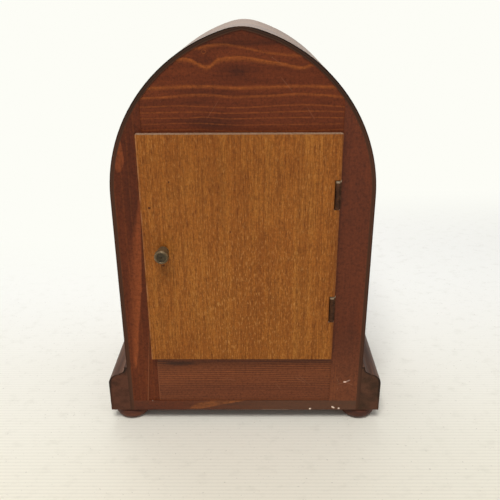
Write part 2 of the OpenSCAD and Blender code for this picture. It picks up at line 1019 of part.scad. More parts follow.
module minute_wheel() {
  color([0.78, 0.62, 0.30]) {
    difference() {
      union() {
        wheel(motion_c, minute_n, cannon_n, motion_m, y_front - 4, wheel_t, 0, 5);
        pinion(motion_c, hour_n, nut_n, hour_m, y_front - 8, y_front - 4,
          mesh(hub, motion_c, hour_n, 0, nut_n));
        bar_y(motion_c, y_front - 9, y_front - 1.6, 5.4);
      }
      bar_y(motion_c, y_front - 10, y_front, 3 + 2 * run_fit);
    }
  }
}

// The hour wheel carries the stepped snail that sets how many blows are struck.
module snail2d() {
  steps = 12;
  polygon([for (i = [0:steps - 1]) each
    [for (k = [0:3]) polar(8.4 + 0.62 * i, 360 / steps * (i + k / 3))]]);
}

module hour_wheel() {
  color([0.80, 0.64, 0.34])
    difference() {
      union() {
        wheel(hub, hour_n, nut_n, hour_m, y_front - 7.6, wheel_t, 0, 4);
        translate([0, 0, zc])
          prism_y(y_front - 8.8, y_front - 7.6)
            snail2d();
        bar_y(hub, hour_y - hand_t, y_front - 5.4, 7);
      }
      bar_y(hub, hour_y - 9, y_in, 4 + 2 * run_fit);
    }
}

module minute_stud() {
  bar_y(motion_c, y_front - 9.6, y_front + 0.5, 3);
  bar_y(motion_c, y_front - 1.2, y_front + 0.5, 5);
}

// Spring barrels: drum, cover and great wheel in one, with a free bore for the winding arbor.
module spring_barrel(p) {
  difference() {
    union() {
      bar_y(p, y_in + 4, great_y, 2 * spring_barrel_r);
      translate([p[0], 0, p[1]])
        prism_y(great_y, great_y + 2)
          wheel2d(great_n, leaf_n, great_m, 0);
      bar_y(p, y_in + 2.6, y_in + 4, 11);
      bar_y(p, great_y + 2, great_y + 3.2, 11);
    }
    bar_y(p, y_in + 2, y_out, wind_d + 2 * run_fit);
    translate([p[0], y_in + 5, p[1]])
      rotate([90, 0, 0])
        difference() {
          cylinder(r = spring_barrel_r - 1.6, h = 3);
          cylinder(r = spring_barrel_r - 3, h = 3);
        }
  }
}

module time_barrel() {
  color([0.78, 0.62, 0.32])
    spring_barrel(time_c);
}

module strike_barrel() {
  color([0.78, 0.62, 0.32])
    spring_barrel(strike_c);
}

module chime_barrel() {
  color([0.78, 0.62, 0.32])
    spring_barrel(chime_c);
}

module ratchet2d() {
  polygon([for (i = [0:ratchet_n - 1]) each
    [polar(ratchet_r - 1.4, 360 * i / ratchet_n), polar(ratchet_r, 360 * i / ratchet_n + 1)]]);
}

// A winding arbor: a square end for the key at the dial and a ratchet at the back.
module winding_arbor(p) {
  square_w = 3.4;
  bar_y(p, y_front - 2, y_rear + 3, wind_d);
  translate([p[0] - square_w / 2, y_face - dial_t - 0.6, p[1] - square_w / 2])
    cube([square_w, y_front - y_face, square_w]);
  translate([p[0], 0, p[1]])
    prism_y(ratchet_y, ratchet_y + 1.8)
      ratchet2d();
  bar_y(p, ratchet_y, ratchet_y + 3.2, 9);
}

module time_arbor() {
  color([0.64, 0.64, 0.66])
    winding_arbor(time_c);
}

module strike_arbor() {
  color([0.64, 0.64, 0.66])
    winding_arbor(strike_c);
}

module chime_arbor() {
  color([0.64, 0.64, 0.66])
    winding_arbor(chime_c);
}

// Going train.
second_phase = 0;

module second_wheel() {
  color([0.80, 0.64, 0.34]) {
    wheel(second_c, slow_n, leaf_n, great_m, slow_y, wheel_t, second_phase, 5);
    pinion(second_c, great_n, leaf_n, great_m, great_y - 1.2, slow_y + 0.1,
      mesh(time_c, second_c, great_n, 0, leaf_n));
    staff(second_c);
  }
}

module centre_wheel() {
  color([0.80, 0.64, 0.34]) {
    wheel(hub, centre_n, small_n, centre_m, y_in + 20, thin_t, 0, 5);
    pinion(hub, slow_n, leaf_n, great_m, slow_y - 1.5, slow_y + 3,
      mesh(second_c, hub, slow_n, second_phase, leaf_n));
    bar_y(hub, y_in + 0.3, y_out - 0.3, 3.4);
    bar_y(hub, cannon_y - 2.2, y_in + 1, staff_d);
    bar_y(hub, y_out - 1, y_rear - 0.2, pivot_d);
  }
}

module third_wheel() {
  color([0.80, 0.64, 0.34]) {
    wheel(third_c, third_n, small_n, third_m, y_in + 12, thin_t, 0, 5);
    pinion(third_c, centre_n, small_n, centre_m, y_in + 18.5, y_in + 22.5,
      mesh(hub, third_c, centre_n, 0, small_n));
    staff(third_c);
  }
}

// Pointed teeth that lean forward, as a recoil escape wheel has.
module escape2d() {
  polygon([for (i = [0:escape_n - 1]) each
    [polar(escape_r - 1.5, 360 * i / escape_n - 2.6), polar(escape_r, 360 * i / escape_n),
     polar(escape_r, 360 * i / escape_n + 0.7), polar(escape_r - 1.5, 360 * i / escape_n + 2.4)]]);
}

module escape_wheel() {
  color([0.80, 0.64, 0.34]) {
    translate([escape_c[0], 0, escape_c[1]])
      prism_y(y_in + 27, y_in + 28)
        difference() {
          escape2d();
          crossings2d(3, escape_r - 3, 4, 1.4);
        }
    pinion(escape_c, third_n, small_n, third_m, y_in + 10.6, y_in + 14.6,
      mesh(third_c, escape_c, third_n, 0, small_n));
    staff(escape_c);
  }
}

// The anchor's pallets are held just clear of the wheel, so both can turn on their own.
pallet_gap = 0.75;
fork_z = anchor_c[1] - 52;

module anchor() {
  color([0.58, 0.58, 0.60]) {
    prism_y(y_in + 26, y_in + 29)
      difference() {
        union() {
          translate(anchor_c)
            circle(d = 6);
          for (s = [-1, 1])
            strap2d(anchor_c, escape_c + polar(escape_r + 0.4, 90 + s * pallet_a), 2.6);
        }
        translate(escape_c)
          circle(r = escape_r + pallet_gap);
      }
    bar_y(anchor_c, y_in + 0.3, crutch_y + 1, staff_d);
    bar_y(anchor_c, y_front + 0.2, cock_y + 1.8, pivot_d);
    bar_y(anchor_c, y_rear + 1, crutch_y + 1.6, 5);
    wire([[0, crutch_y, anchor_c[1]], [0, crutch_y, fork_z], [0, rod_y - 4.4, fork_z]], 1.5);
    translate([-2.6, rod_y - 5, fork_z - 0.9])
      cube([5.2, 1.2, 1.8]);
    for (s = [-1, 1])
      translate([s * (rod_d / 2 + 0.85) - 0.55, rod_y - 5, fork_z - 0.9])
        cube([1.1, 7.6, 1.8]);
  }
}

// Pendulum.
ferrule_z = anchor_c[1] - 9;
bob_z = anchor_c[1] - pendulum_len;

module suspension_spring() {
  color([0.70, 0.70, 0.72]) {
    translate([-spring_t / 2, rod_y - spring_w / 2, ferrule_z - 1])
      cube([spring_t, spring_w, 17]);
  }
}

module pendulum_rod() {
  color([0.66, 0.54, 0.30]) {
    translate([-1.6, rod_y - spring_w / 2 - 0.5, ferrule_z - 5])
      difference() {
        cube([3.2, spring_w + 1, 6]);
        translate([1.6 - spring_t / 2, 0.5, 4])
          cube([spring_t, spring_w, 3]);
      }
    translate([0, rod_y, bob_z - 26])
      cylinder(d = rod_d, h = ferrule_z - 4 - bob_z + 26, $fn = 32);
    translate([0, rod_y, bob_z - bob_d / 2 - 3.2])
      cylinder(d = 8, h = 2.6);
  }
}

module pendulum_bob() {
  dome = (pow(bob_d / 2, 2) + pow(bob_t / 2, 2)) / bob_t;
  color([0.80, 0.62, 0.28])
    difference() {
      intersection() {
        translate([0, rod_y + dome - bob_t / 2, bob_z])
          sphere(r = dome, $fn = 128);
        translate([0, rod_y - dome + bob_t / 2, bob_z])
          sphere(r = dome, $fn = 128);
        translate([0, rod_y + bob_t, bob_z])
          rotate([90, 0, 0])
            cylinder(d = bob_d - 0.8, h = 2 * bob_t);
      }
      translate([0, rod_y, bob_z - bob_d])
        cylinder(d = rod_d + 0.1, h = 2 * bob_d, $fn = 32);
    }
}

// Strike train.
module strike_pin_wheel() {
  phase = 180;
  color([0.80, 0.64, 0.34]) {
    translate([strike_2c[0], 0, strike_2c[1]])
      prism_y(slow_y, slow_y + wheel_t)
        difference() {
          wheel2d(chime_n, small_n, chime_m, phase);
          crossings2d(4.4, pin_circle - 1.4, 5, 1.6);
        }
    pinion(strike_2c, great_n, leaf_n, great_m, great_y - 1.2, slow_y + 0.1,
      mesh(strike_c, strike_2c, great_n, 0, leaf_n));
    staff(strike_2c);
    for (i = [0:7])
      bar_y(strike_2c + polar(pin_circle, 45 * i + 67.5), slow_y - 2.1, slow_y + 0.5, lift_pin_d);
  }
}

module governor_wheel(a, b, phase) {
  wheel(b, fly_n, small_n, fly_m, y_in + 22, thin_t, 0, 4);
  pinion(b, chime_n, small_n, chime_m, slow_y - 1.5, slow_y + 3,
    mesh(a, b, chime_n, phase, small_n));
  staff(b);
}

module fly(a, b) {
  pinion(b, fly_n, small_n, fly_m, y_in + 20.5, y_in + 24.5,
    mesh(a, b, fly_n, 0, small_n));
  staff(b);
  bar_y(b, y_in + 6, y_in + 18, 3.4);
  translate([b[0] - vane / 2, y_in + 6, b[1] - 0.4])
    cube([vane, 12, 0.8]);
}

module strike_third_wheel() {
  color([0.80, 0.64, 0.34])
    governor_wheel(strike_2c, strike_3c, 180);
}

module strike_fly() {
  color([0.80, 0.66, 0.38])
    fly(strike_3c, strike_fc);
}

// Chime train. The second wheel drives the pin drum and the governor.
module chime_second_wheel() {
  color([0.80, 0.64, 0.34]) {
    wheel(chime_2c, chime_n, small_n, chime_m, slow_y, wheel_t, 0, 5);
    pinion(chime_2c, great_n, leaf_n, great_m, great_y - 1.2, slow_y + 0.1,
      mesh(chime_c, chime_2c, great_n, 0, leaf_n));
    staff(chime_2c);
  }
}

module chime_third_wheel() {
  color([0.80, 0.64, 0.34])
    governor_wheel(chime_2c, chime_3c, 0);
}

module chime_fly() {
  color([0.80, 0.66, 0.38])
    fly(chime_3c, chime_fc);
}

// Each change takes a fifth of a turn, and the pins of its four blows stand 14 degrees apart.
change_a = 360 / len(CHANGES);
note_a = 14;
drum_phase = 100;

module chime_drum() {
  color([0.78, 0.64, 0.36]) {
    bar_y(drum_c, track_y[0] - 2.4, track_y[3] + 2.4, 2 * drum_r);
    pinion(drum_c, chime_n, leaf_n, chime_m, slow_y - 1.5, slow_y + 3,
      mesh(chime_2c, drum_c, chime_n, 0, leaf_n));
    staff(drum_c);
    for (i = [0:len(CHANGES) - 1])
      for (k = [0:3])
        translate([drum_c[0], track_y[CHANGES[i][k] - 1], drum_c[1]])
          rotate([0, -drum_phase - change_a * i - note_a * k, 0])
            translate([drum_r - 1, 0, 0])
              rotate([0, 90, 0])
                cylinder(d = 1, h = pin_h + 1, $fn = 24);
  }
}

// Hammers: hub, tail, bent arm and head with its leather tip.
module hammer(i, hub_end) {
  head_z = gong_top + strike_gap;
  difference() {
    union() {
      bar_y(hammer_c, track_y[i] - 2, hub_end, 7);
      wire([[hammer_c[0] + 2, track_y[i], hammer_c[1] - 1.5],
        [head_x - 12, track_y[i], head_z + head_h + 9],
        [head_x, gong_y[i], head_z + head_h + 7],
        [head_x, gong_y[i], head_z + head_h - 1]], 1.6);
      translate([head_x, gong_y[i], head_z + tip_h])
        cylinder(d = head_d, h = head_h - tip_h);
      translate([head_x, gong_y[i], head_z])
        cylinder(d = head_d - 2, h = tip_h + 0.1);
      children();
    }
    bar_y(hammer_c, y_in - 1, y_out + 1, 2.6 + 2 * run_fit);
  }
}

module chime_hammer(i) {
  tail = norm(drum_c - hammer_c) - drum_r - pin_h - pin_reach;
  color([0.72, 0.60, 0.34])
    hammer(i, track_y[i] + 2)
      prism_y(track_y[i] - 0.7, track_y[i] + 0.7)
        strap2d(hammer_c + polar(2.4, heading(hammer_c, drum_c)),
          hammer_c + polar(tail - 1, heading(hammer_c, drum_c)), 2);
}

module chime_hammer_1() {
  chime_hammer(0);
}

module chime_hammer_2() {
  chime_hammer(1);
}

module chime_hammer_3() {
  chime_hammer(2);
}

module chime_hammer_4() {
  chime_hammer(3);
}

module strike_hammer() {
  tail_w = 2.2;
  tail_y0 = slow_y - 1.9;
  tail_y1 = slow_y - 0.4;
  pin_low = strike_2c - [0, pin_circle + (lift_pin_d + tail_w) / 2 + pin_reach];
  run_z = hammer_c[1] - 4.4;
  color([0.72, 0.60, 0.34])
    hammer(4, tail_y1)
      prism_y(tail_y0, tail_y1)
        strip2d([hammer_c - [2.4, 1.5], [hammer_c[0] - 7, run_z], [pin_low[0] + 8, run_z], pin_low],
          tail_w);
}

// Gongs.
module gong_block() {
  color([0.16, 0.16, 0.17])
    on_feet()
      difference() {
        union() {
          translate([block_x0, gong_mid - block_half_y, riser_top])
            cube([block_x1 - block_x0, 2 * block_half_y, gong_d * 2]);
          translate([block_x0, gong_mid - block_half_y + gong_d, riser_top])
            cube([block_post, 2 * (block_half_y - gong_d), block_h]);
        }
        for (y = gong_y)
          translate([block_x0 - 1, y, gong_z])
            rotate([0, 90, 0])
              cylinder(d = gong_d, h = gong_seat + 1);
      }
}

module gong_rods() {
  color([0.66, 0.58, 0.40])
    on_feet()
      for (i = [0:4])
        translate([block_x0 + gong_seat - gong_len + gong_drop * i, gong_y[i], gong_z])
          rotate([0, 90, 0])
            cylinder(d = gong_d, h = gong_len - gong_drop * i);
}

case_skin();
front_panel();
top_rail();
bottom_rail();
left_stile();
right_stile();
bottom_board();
front_moulding();
left_moulding();
right_moulding();
bun_feet();
back_door();
door_hinge_leaves();
frame_hinge_leaves();
door_knob();
door_latch();
dial_plate();
bezel_seat();
bezel();
bezel_glass();
minute_hand();
hour_hand();
front_plate();
back_plate();
plate_pillars();
mounting_posts();
hammer_arbor();
pendulum_cock();
clicks();
cannon_pinion();
minute_wheel();
hour_wheel();
time_barrel();
time_arbor();
second_wheel();
centre_wheel();
third_wheel();
escape_wheel();
anchor();
suspension_spring();
pendulum_rod();
pendulum_bob();
strike_barrel();
strike_arbor();
strike_pin_wheel();
strike_third_wheel();
strike_fly();
chime_barrel();
chime_arbor();
chime_second_wheel();
chime_third_wheel();
chime_fly();
chime_drum();
chime_hammer_1();
chime_hammer_2();
chime_hammer_3();
chime_hammer_4();
strike_hammer();
gong_block();
gong_rods();
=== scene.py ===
# %% [markdown]
# # A chiming mantel clock, seen from behind
#
# The clock comes in as a imported frame: every wooden, brass and steel piece already has its shape, its place
# and the body that it moves with. What is left for Blender is everything that a person sees before they
# measure: stained pine with its growth rings, a plywood door with short dark flecks, lacquer that goes pale
# at a flat angle, aged brass, a silvered dial with its numbers, and the small screws that hold the hinges.
#
# The first cell loads the frame, bakes each piece's place into its points, and gives a way to read a piece's
# box.

# %% Load the frame
from math import pi, radians

import bmesh
import bpy
import numpy as np
from mathutils import Matrix, Vector


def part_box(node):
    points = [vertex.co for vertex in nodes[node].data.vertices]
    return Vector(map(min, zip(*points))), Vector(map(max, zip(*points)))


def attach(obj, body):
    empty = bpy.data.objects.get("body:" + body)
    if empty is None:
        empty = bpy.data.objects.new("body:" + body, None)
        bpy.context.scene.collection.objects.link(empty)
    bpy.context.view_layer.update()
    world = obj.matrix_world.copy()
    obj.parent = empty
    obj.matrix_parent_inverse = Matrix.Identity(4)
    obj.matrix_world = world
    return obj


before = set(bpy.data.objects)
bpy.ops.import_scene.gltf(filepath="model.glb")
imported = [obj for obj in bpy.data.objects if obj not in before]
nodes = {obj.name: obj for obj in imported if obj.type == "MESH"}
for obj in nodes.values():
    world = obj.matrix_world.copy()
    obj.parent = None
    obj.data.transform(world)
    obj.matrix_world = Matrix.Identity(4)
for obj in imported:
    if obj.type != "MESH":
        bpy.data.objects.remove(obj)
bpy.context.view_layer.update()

# %% [markdown]
# # The camera
#
# The photograph looks down on the clock's back from about 0.6 m. A camera could be moved by eye until the
# picture fits, but four numbers say it better: how far it tips down, how far it turns aside, how far it
# leans, and where it stands. They were worked out from the corners of the case, whose real places are
# known.

# %% Set the camera
mm = 0.001
tips_down, turns_aside, leans = radians(22.737), radians(0.465), radians(-0.279)
stands_at = (-10.0, 573.1, 396.2)
lens = bpy.data.cameras.new("camera")
lens.lens, lens.sensor_width = 44.09, 36.0
lens.clip_start, lens.clip_end = 0.01, 50.0
camera = bpy.data.objects.new("camera", lens)
bpy.context.scene.collection.objects.link(camera)
camera.matrix_world = (
    Matrix.Translation(Vector(stands_at) * mm)
    @ Matrix.Rotation(pi + turns_aside, 4, "Z")
    @ Matrix.Rotation(pi / 2 - tips_down, 4, "X")
    @ Matrix.Rotation(leans, 4, "Z")
)
bpy.context.scene.camera = camera
bpy.context.scene.view_settings.view_transform = "Standard"
print("the camera stands at", [round(c, 3) for c in camera.matrix_world.translation])

# %% [markdown]
# # A short way to write finishes
#
# A finish is a small graph of nodes, and written out call by call it would hide the idea behind the
# plumbing. So one helper keeps the graph of the finish that is being made, and each of its methods adds one
# step and hands back that step's output. Lengths are millimetres: the Object coordinate comes in metres and
# is scaled once.

# %% The finish helper
def paint(r, g, b):
    """A colour as read off a screen, 0 to 255, turned into the light that a shader works with."""
    c = np.array([r, g, b]) / 255.0
    c = np.where(c <= 0.04045, c / 12.92, ((c + 0.055) / 1.055) ** 2.4)
    return (*[float(x) for x in c], 1.0)


class Finish:
    """The node graph of one finish, with a short method for each kind of step."""

    def __init__(self, name):
        self.material = bpy.data.materials.new(name)
        self.material.use_nodes = True
        self.tree = self.material.node_tree
        self.shader = self.tree.nodes["Principled BSDF"]
        where = self.tree.nodes.new("ShaderNodeTexCoord").outputs
        self.normal = where["Normal"]
        scale = self.step("ShaderNodeVectorMath", [where["Object"], (1000.0,) * 3], operation="MULTIPLY")
        self.place = scale.outputs[0]
        self.x, self.y, self.z = self.parts(self.place)

    def step(self, kind, values=(), **settings):
        """Adds a node, sets its options, and links or sets its inputs in order."""
        node = self.tree.nodes.new(kind)
        for key, value in settings.items():
            setattr(node, key, value)
        for socket, value in zip(node.inputs, values):
            self.put(socket, value)
        return node

    def put(self, socket, value):
        """Links an output to a socket, or writes a plain value on it."""
        if isinstance(value, bpy.types.NodeSocket):
            self.tree.links.new(value, socket)
        elif value is not None:
            socket.default_value = value

    def parts(self, vector):
        """The three numbers of a vector."""
        return self.step("ShaderNodeSeparateXYZ", [vector]).outputs

    def sum(self, kind, a, b=0.0, c=0.0):
        """One sum of arithmetic, by the name of its operation. The next few methods are the usual ones."""
        return self.step("ShaderNodeMath", [a, b, c], operation=kind).outputs[0]

    def times(self, a, b):
        return self.sum("MULTIPLY", a, b)

    def over(self, a, b):
        return self.sum("DIVIDE", a, b)

    def plus(self, a, b):
        return self.sum("ADD", a, b)

    def less(self, a, b):
        return self.sum("SUBTRACT", a, b)

    def times_plus(self, a, b, c):
        return self.sum("MULTIPLY_ADD", a, b, c)

    def larger(self, a, b):
        return self.sum("MAXIMUM", a, b)

    def size(self, a):
        return self.sum("ABSOLUTE", a)

    def waves(self, a, apart):
        """A sine, from -1 to 1, that comes back each time a length grows by this many millimetres."""
        return self.sum("SINE", self.times(a, 2 * pi / apart))

    def root(self, a):
        return self.sum("SQRT", a)

    def stretch(self, sizes, moved=(0.0, 0.0, 0.0)):
        """The place, moved, then divided by a size on each axis, so that noise made from it is that long."""
        shifted = self.step("ShaderNodeVectorMath", [self.place, moved], operation="ADD").outputs[0]
        return self.step("ShaderNodeVectorMath", [shifted, sizes], operation="DIVIDE").outputs[0]

    def noise(self, place, detail=2.0, rough=0.5, twist=0.0):
        """Soft noise from 0 to 1, one bump to each unit of the place."""
        node = self.step("ShaderNodeTexNoise")
        self.put(node.inputs["Vector"], place)
        node.inputs["Scale"].default_value = 1.0
        node.inputs["Detail"].default_value = detail
        node.inputs["Roughness"].default_value = rough
        node.inputs["Distortion"].default_value = twist
        return node.outputs["Fac"]

    def cloud(self, sizes, detail=2.0, rough=0.5, moved=(0.0, 0.0, 0.0), twist=0.0):
        """Soft noise from 0 to 1 whose bumps have these sizes in millimetres, taken from a moved place."""
        return self.noise(self.stretch(sizes, moved), detail, rough, twist)

    def fit(self, value, low, high, to_low=0.0, to_high=1.0, smooth=False):
        """Stretches the span from low to high on to another span, and stops at its ends."""
        node = self.step("ShaderNodeMapRange", clamp=True)
        node.interpolation_type = "SMOOTHSTEP" if smooth else "LINEAR"
        for socket, number in zip(node.inputs, (value, low, high, to_low, to_high)):
            self.put(socket, number)
        return node.outputs[0]

    def graph(self, value, low, high, points, curve="LINEAR"):
        """A number or a colour for each value: points are (value, grey or colour), joined up in order."""
        ramp = self.step("ShaderNodeValToRGB", [self.fit(value, low, high)])
        ramp.color_ramp.interpolation = curve
        stops = ramp.color_ramp.elements
        while len(stops) < len(points):
            stops.new(0.5)
        for stop, (at, level) in zip(stops, points):
            stop.position = (at - low) / (high - low)
            stop.color = level if hasattr(level, "__len__") else (level, level, level, 1.0)
        return ramp.outputs[0]

    def curve(self, value, low, high, points, bend="CARDINAL"):
        """A number for each value, looked up on a curve through points (value, number)."""
        points = sorted(points)
        least, most = min(n for _, n in points), max(n for _, n in points)
        ramp = self.graph(value, low, high, [(at, (n - least) / (most - least)) for at, n in points], bend)
        return self.fit(ramp, 0.0, 1.0, least, most)

    def mix(self, share, a, b, way="MIX"):
        """Mixes two colours, or puts the second over the first in another way, such as MULTIPLY."""
        node = self.step("ShaderNodeMix", data_type="RGBA", blend_type=way)
        self.put(node.inputs[0], share)
        self.put(node.inputs[6], a)
        self.put(node.inputs[7], b)
        return node.outputs[2]

    def shade(self, share, colour, value, points):
        """Darkens or lightens a colour by a share of what a graph through the points gives for a value."""
        return self.mix(share, colour, self.graph(value, points[0][0], points[-1][0], points), "MULTIPLY")

    def spot(self, x, z, across, down):
        """1 at a point of the board's face, falling smoothly to 0 at the edge of an ellipse round it."""
        u = self.over(self.less(self.x, x), across)
        v = self.over(self.less(self.z, z), down)
        far = self.plus(self.times(u, u), self.times(v, v))
        return self.fit(far, 0.0, 1.0, 1.0, 0.0, smooth=True)

    def scratch(self, x0, z0, x1, z1, wide):
        """1 on a short straight line, falling to 0 at its width and towards its ends: how far a point lies
        along the line and how far across it are both sums of its x and z."""
        long = ((x1 - x0) ** 2 + (z1 - z0) ** 2) ** 0.5
        dx, dz = (x1 - x0) / long, (z1 - z0) / long
        east, north = self.less(self.x, (x0 + x1) / 2), self.less(self.z, (z0 + z1) / 2)
        along = self.plus(self.times(east, dx), self.times(north, dz))
        across = self.less(self.times(north, dx), self.times(east, dz))
        ends = self.fit(self.size(along), long / 2, long / 4)
        return self.times(self.fit(self.size(across), wide, 0.0), ends)

    def most(self, values):
        """The greatest of several values."""
        top = 0.0
        for value in values:
            top = self.larger(top, value)
        return top

    def bump(self, height, depth, after=None):
        """Lets a height stand out from the surface: depth is in millimetres for a height from 0 to 1."""
        node = self.step("ShaderNodeBump")
        node.inputs["Strength"].default_value = 1.0
        node.inputs["Distance"].default_value = depth * mm
        self.put(node.inputs["Height"], height)
        if after is not None:
            self.put(node.inputs["Normal"], after)
        return node.outputs[0]

    def finish(self, colour, rough, normal=None, metal=0.0, **also):
        """Joins the steps to the surface shader. The other sockets take plain values."""
        self.put(self.shader.inputs["Base Color"], colour)
        self.put(self.shader.inputs["Roughness"], rough)
        self.shader.inputs["Metallic"].default_value = metal
        if normal is not None:
            self.put(self.shader.inputs["Normal"], normal)
        for key, value in also.items():
            self.shader.inputs[key.replace("_", " ")].default_value = value
        return self.material


def dress(material, *names):
    """Gives nodes of the frame their finish."""
    for name in names:
        nodes[name].data.materials.clear()
        nodes[name].data.materials.append(material)
    print(material.name, "on", ", ".join(names))


# %% [markdown]
# # The floor and the light
#
# The clock stands on a long sheet of white paper that is a little warmer near the camera. A studio could be
# built lamp by lamp; here an even white world does most of the work, as a light tent would. One lamp above
# the camera gives the shadow under the case its edge, and a large weak one keeps the clock's front from
# going dull. The world is fully white only to the camera, also through the glass, so the paper keeps its
# own colour.

# %% Floor
rib_width = 4.2


def paper_finish():
    """White paper: warm and slightly grey near the camera, whiter far away, with a faint tooth, shallow
    ribs and a few grey smears and specks. Far from the clock, where no shadow falls, it glows plain white
    to the camera, to gloss and to glass."""
    f = Finish("white_paper")
    drift = f.cloud((300.0, 240.0, 300.0), 3.0)
    near = f.fit(f.plus(f.y, f.times(drift, 60.0)), -260.0, 330.0, smooth=True)
    near = f.times(near, f.fit(f.y, 900.0, 420.0, smooth=True))
    colour = f.mix(near, paint(252, 252, 248), paint(236, 231, 214))
    tooth = f.cloud((2.2, 2.2, 2.2), 4.0, 0.6)
    colour = f.shade(0.06, colour, tooth, [(0.3, 0.6), (0.7, 1.0)])
    ribs = f.waves(f.y, rib_width)
    fades = f.times(near, f.fit(f.y, 330.0, 200.0))
    colour = f.mix(f.times(f.fit(ribs, -0.2, 1.0, 0.0, 0.13), fades), colour, paint(150, 146, 134))
    smears = f.fit(f.cloud((16.0, 11.0, 16.0), 4.0, 0.65, (2.0, 9.0, 0.0)), 0.54, 0.74, 0.0, 0.16)
    colour = f.mix(smears, colour, paint(176, 172, 156))
    specks = f.fit(f.cloud((3.6, 2.4, 5.0), 2.0, 0.7, (7.0, 1.0, 0.0)), 0.67, 0.72, 0.0, 0.5)
    colour = f.mix(specks, colour, paint(168, 163, 150))
    f.finish(colour, 0.9, f.bump(tooth, 0.03), Specular_IOR_Level=0.1)
    looks = f.step("ShaderNodeLightPath").outputs
    seen = f.larger(f.larger(looks["Is Camera Ray"], looks["Is Glossy Ray"]), looks["Is Transmission Ray"])
    behind = f.plus(f.y, f.fit(f.x, 60.0, -200.0, 0.0, 300.0, smooth=True))
    far = f.larger(f.fit(behind, -60.0, -420.0, smooth=True), f.fit(f.y, 450.0, 900.0, smooth=True))
    glow = f.step("ShaderNodeEmission", [f.mix(specks, paint(253, 253, 246), paint(236, 234, 226)), 1.0])
    both = f.step("ShaderNodeMixShader", [f.times(seen, far), f.shader.outputs[0], glow.outputs[0]])
    f.put(f.tree.nodes["Material Output"].inputs[0], both.outputs[0])
    return f.material


def floor_points(wide, rows, near_end=4.5, long=8.5, bend=2.6, lift=0.32):
    """A sheet that is flat in the middle and curves up at both ends, where its height grows with the square
    of the distance past the bend. It lies a hair below the feet."""
    u, v = np.meshgrid(np.linspace(-1, 1, 9), np.linspace(0, 1, rows))
    y = near_end - long * v
    z = lift * np.clip(abs(y) - bend, 0, None) ** 2
    return np.stack([wide * u, y, z - 0.05 * mm], -1)


def surface(name, points, loop_u=False, loop_v=False, smooth=True):
    """A mesh through a grid of points: each four neighbours make a face, and a looped side joins its ends."""
    rows, cols = points.shape[:2]
    i = np.arange(rows if loop_v else rows - 1)[:, None]
    j = np.arange(cols if loop_u else cols - 1)[None, :]
    i2, j2 = (i + 1) % rows, (j + 1) % cols
    quads = np.stack([i * cols + j, i * cols + j2, i2 * cols + j2, i2 * cols + j], -1).reshape(-1, 4)
    mesh = bpy.data.meshes.new(name)
    mesh.from_pydata(points.reshape(-1, 3), [], quads)
    mesh.polygons.foreach_set("use_smooth", np.full(len(mesh.polygons), smooth))
    mesh.update()
    made = bpy.data.objects.new(name, mesh)
    bpy.context.scene.collection.objects.link(made)
    return made


def close_up(made):
    """Welds points that lie on one another, such as a seam or a pole, and turns all faces of the shell
    out."""
    shell = bmesh.new()
    shell.from_mesh(made.data)
    bmesh.ops.remove_doubles(shell, verts=shell.verts, dist=1e-7)
    bmesh.ops.recalc_face_normals(shell, faces=shell.faces)
    shell.to_mesh(made.data)
    shell.free()
    return made


floor = surface("paper_floor", floor_points(5.0, 90))
floor.data.flip_normals()
floor.data.materials.append(paper_finish())
print("the paper reaches", floor.dimensions[:])

# %% Light
world = bpy.data.worlds.new("tent")
bpy.context.scene.world = world
world.use_nodes = True
air = world.node_tree
sky = air.nodes["Background"]


def air_step(kind, links, **settings):
    """Adds a node to the world's graph, sets its options, and links or sets its inputs in order."""
    node = air.nodes.new(kind)
    for key, value in settings.items():
        setattr(node, key, value)
    for socket, value in zip(node.inputs, links):
        if isinstance(value, bpy.types.NodeSocket):
            air.links.new(value, socket)
        elif value is not None:
            socket.default_value = value
    return node.outputs


# Gloss sees a dim room behind the camera and a white one over and beyond the clock.
looks = air_step("ShaderNodeLightPath", [])
way = air_step("ShaderNodeSeparateXYZ", [air_step("ShaderNodeTexCoord", [])["Generated"]])
dim = air_step("ShaderNodeMapRange", [way["Y"], -0.1, 0.7, 1.0, 0.12], clamp=True)[0]
clear = [looks["Is Camera Ray"], looks["Is Transmission Ray"]]
seen = air_step("ShaderNodeMath", clear, operation="MAXIMUM")[0]
gloss = air_step("ShaderNodeMix", [looks["Is Glossy Ray"], None, 0.45, dim], data_type="FLOAT")
power = air_step("ShaderNodeMix", [seen, None, gloss[0], 1.0], data_type="FLOAT")
air.links.new(power[0], sky.inputs["Strength"])
sky.inputs["Color"].default_value = (1.0, 1.0, 1.0, 1.0)
print("the tent has", len(air.nodes), "nodes")


def lamp(name, at, to, side, watts, tint=(1.0, 1.0, 1.0)):
    """A square soft lamp at a place, facing a point."""
    light = bpy.data.lights.new(name, "AREA")
    light.size, light.energy, light.color = side, watts, tint
    made = bpy.data.objects.new(name, light)
    bpy.context.scene.collection.objects.link(made)
    made.location = at
    made.rotation_euler = (Vector(to) - Vector(at)).to_track_quat("-Z", "Y").to_euler()
    return made


aim = (0.0, 0.0, 0.15)
lamp("over_the_camera", (0.14, 1.05, 1.78), aim, side=0.6, watts=24.0, tint=(1.0, 0.985, 0.96))
lamp("front_fill", (0.3, -1.3, 1.6), aim, side=1.6, watts=10.0)

# %% [markdown]
# # Stained pine
#
# The back frame is soft pine under a thin red-brown stain. Pine grows pale spring wood and hard dark summer
# wood in turns; the stain sinks into the spring wood and hardly into the summer wood, so on the finished
# board the rings show as thin orange lines on red-brown. Every board gets the same stain and fibres, so
# these come first, and each board then brings its own rings.

# %% Stain and fibres
stain_deep, stain_red, stain_warm = paint(60, 27, 15), paint(102, 46, 21), paint(122, 58, 26)
ring_orange = paint(158, 84, 34)


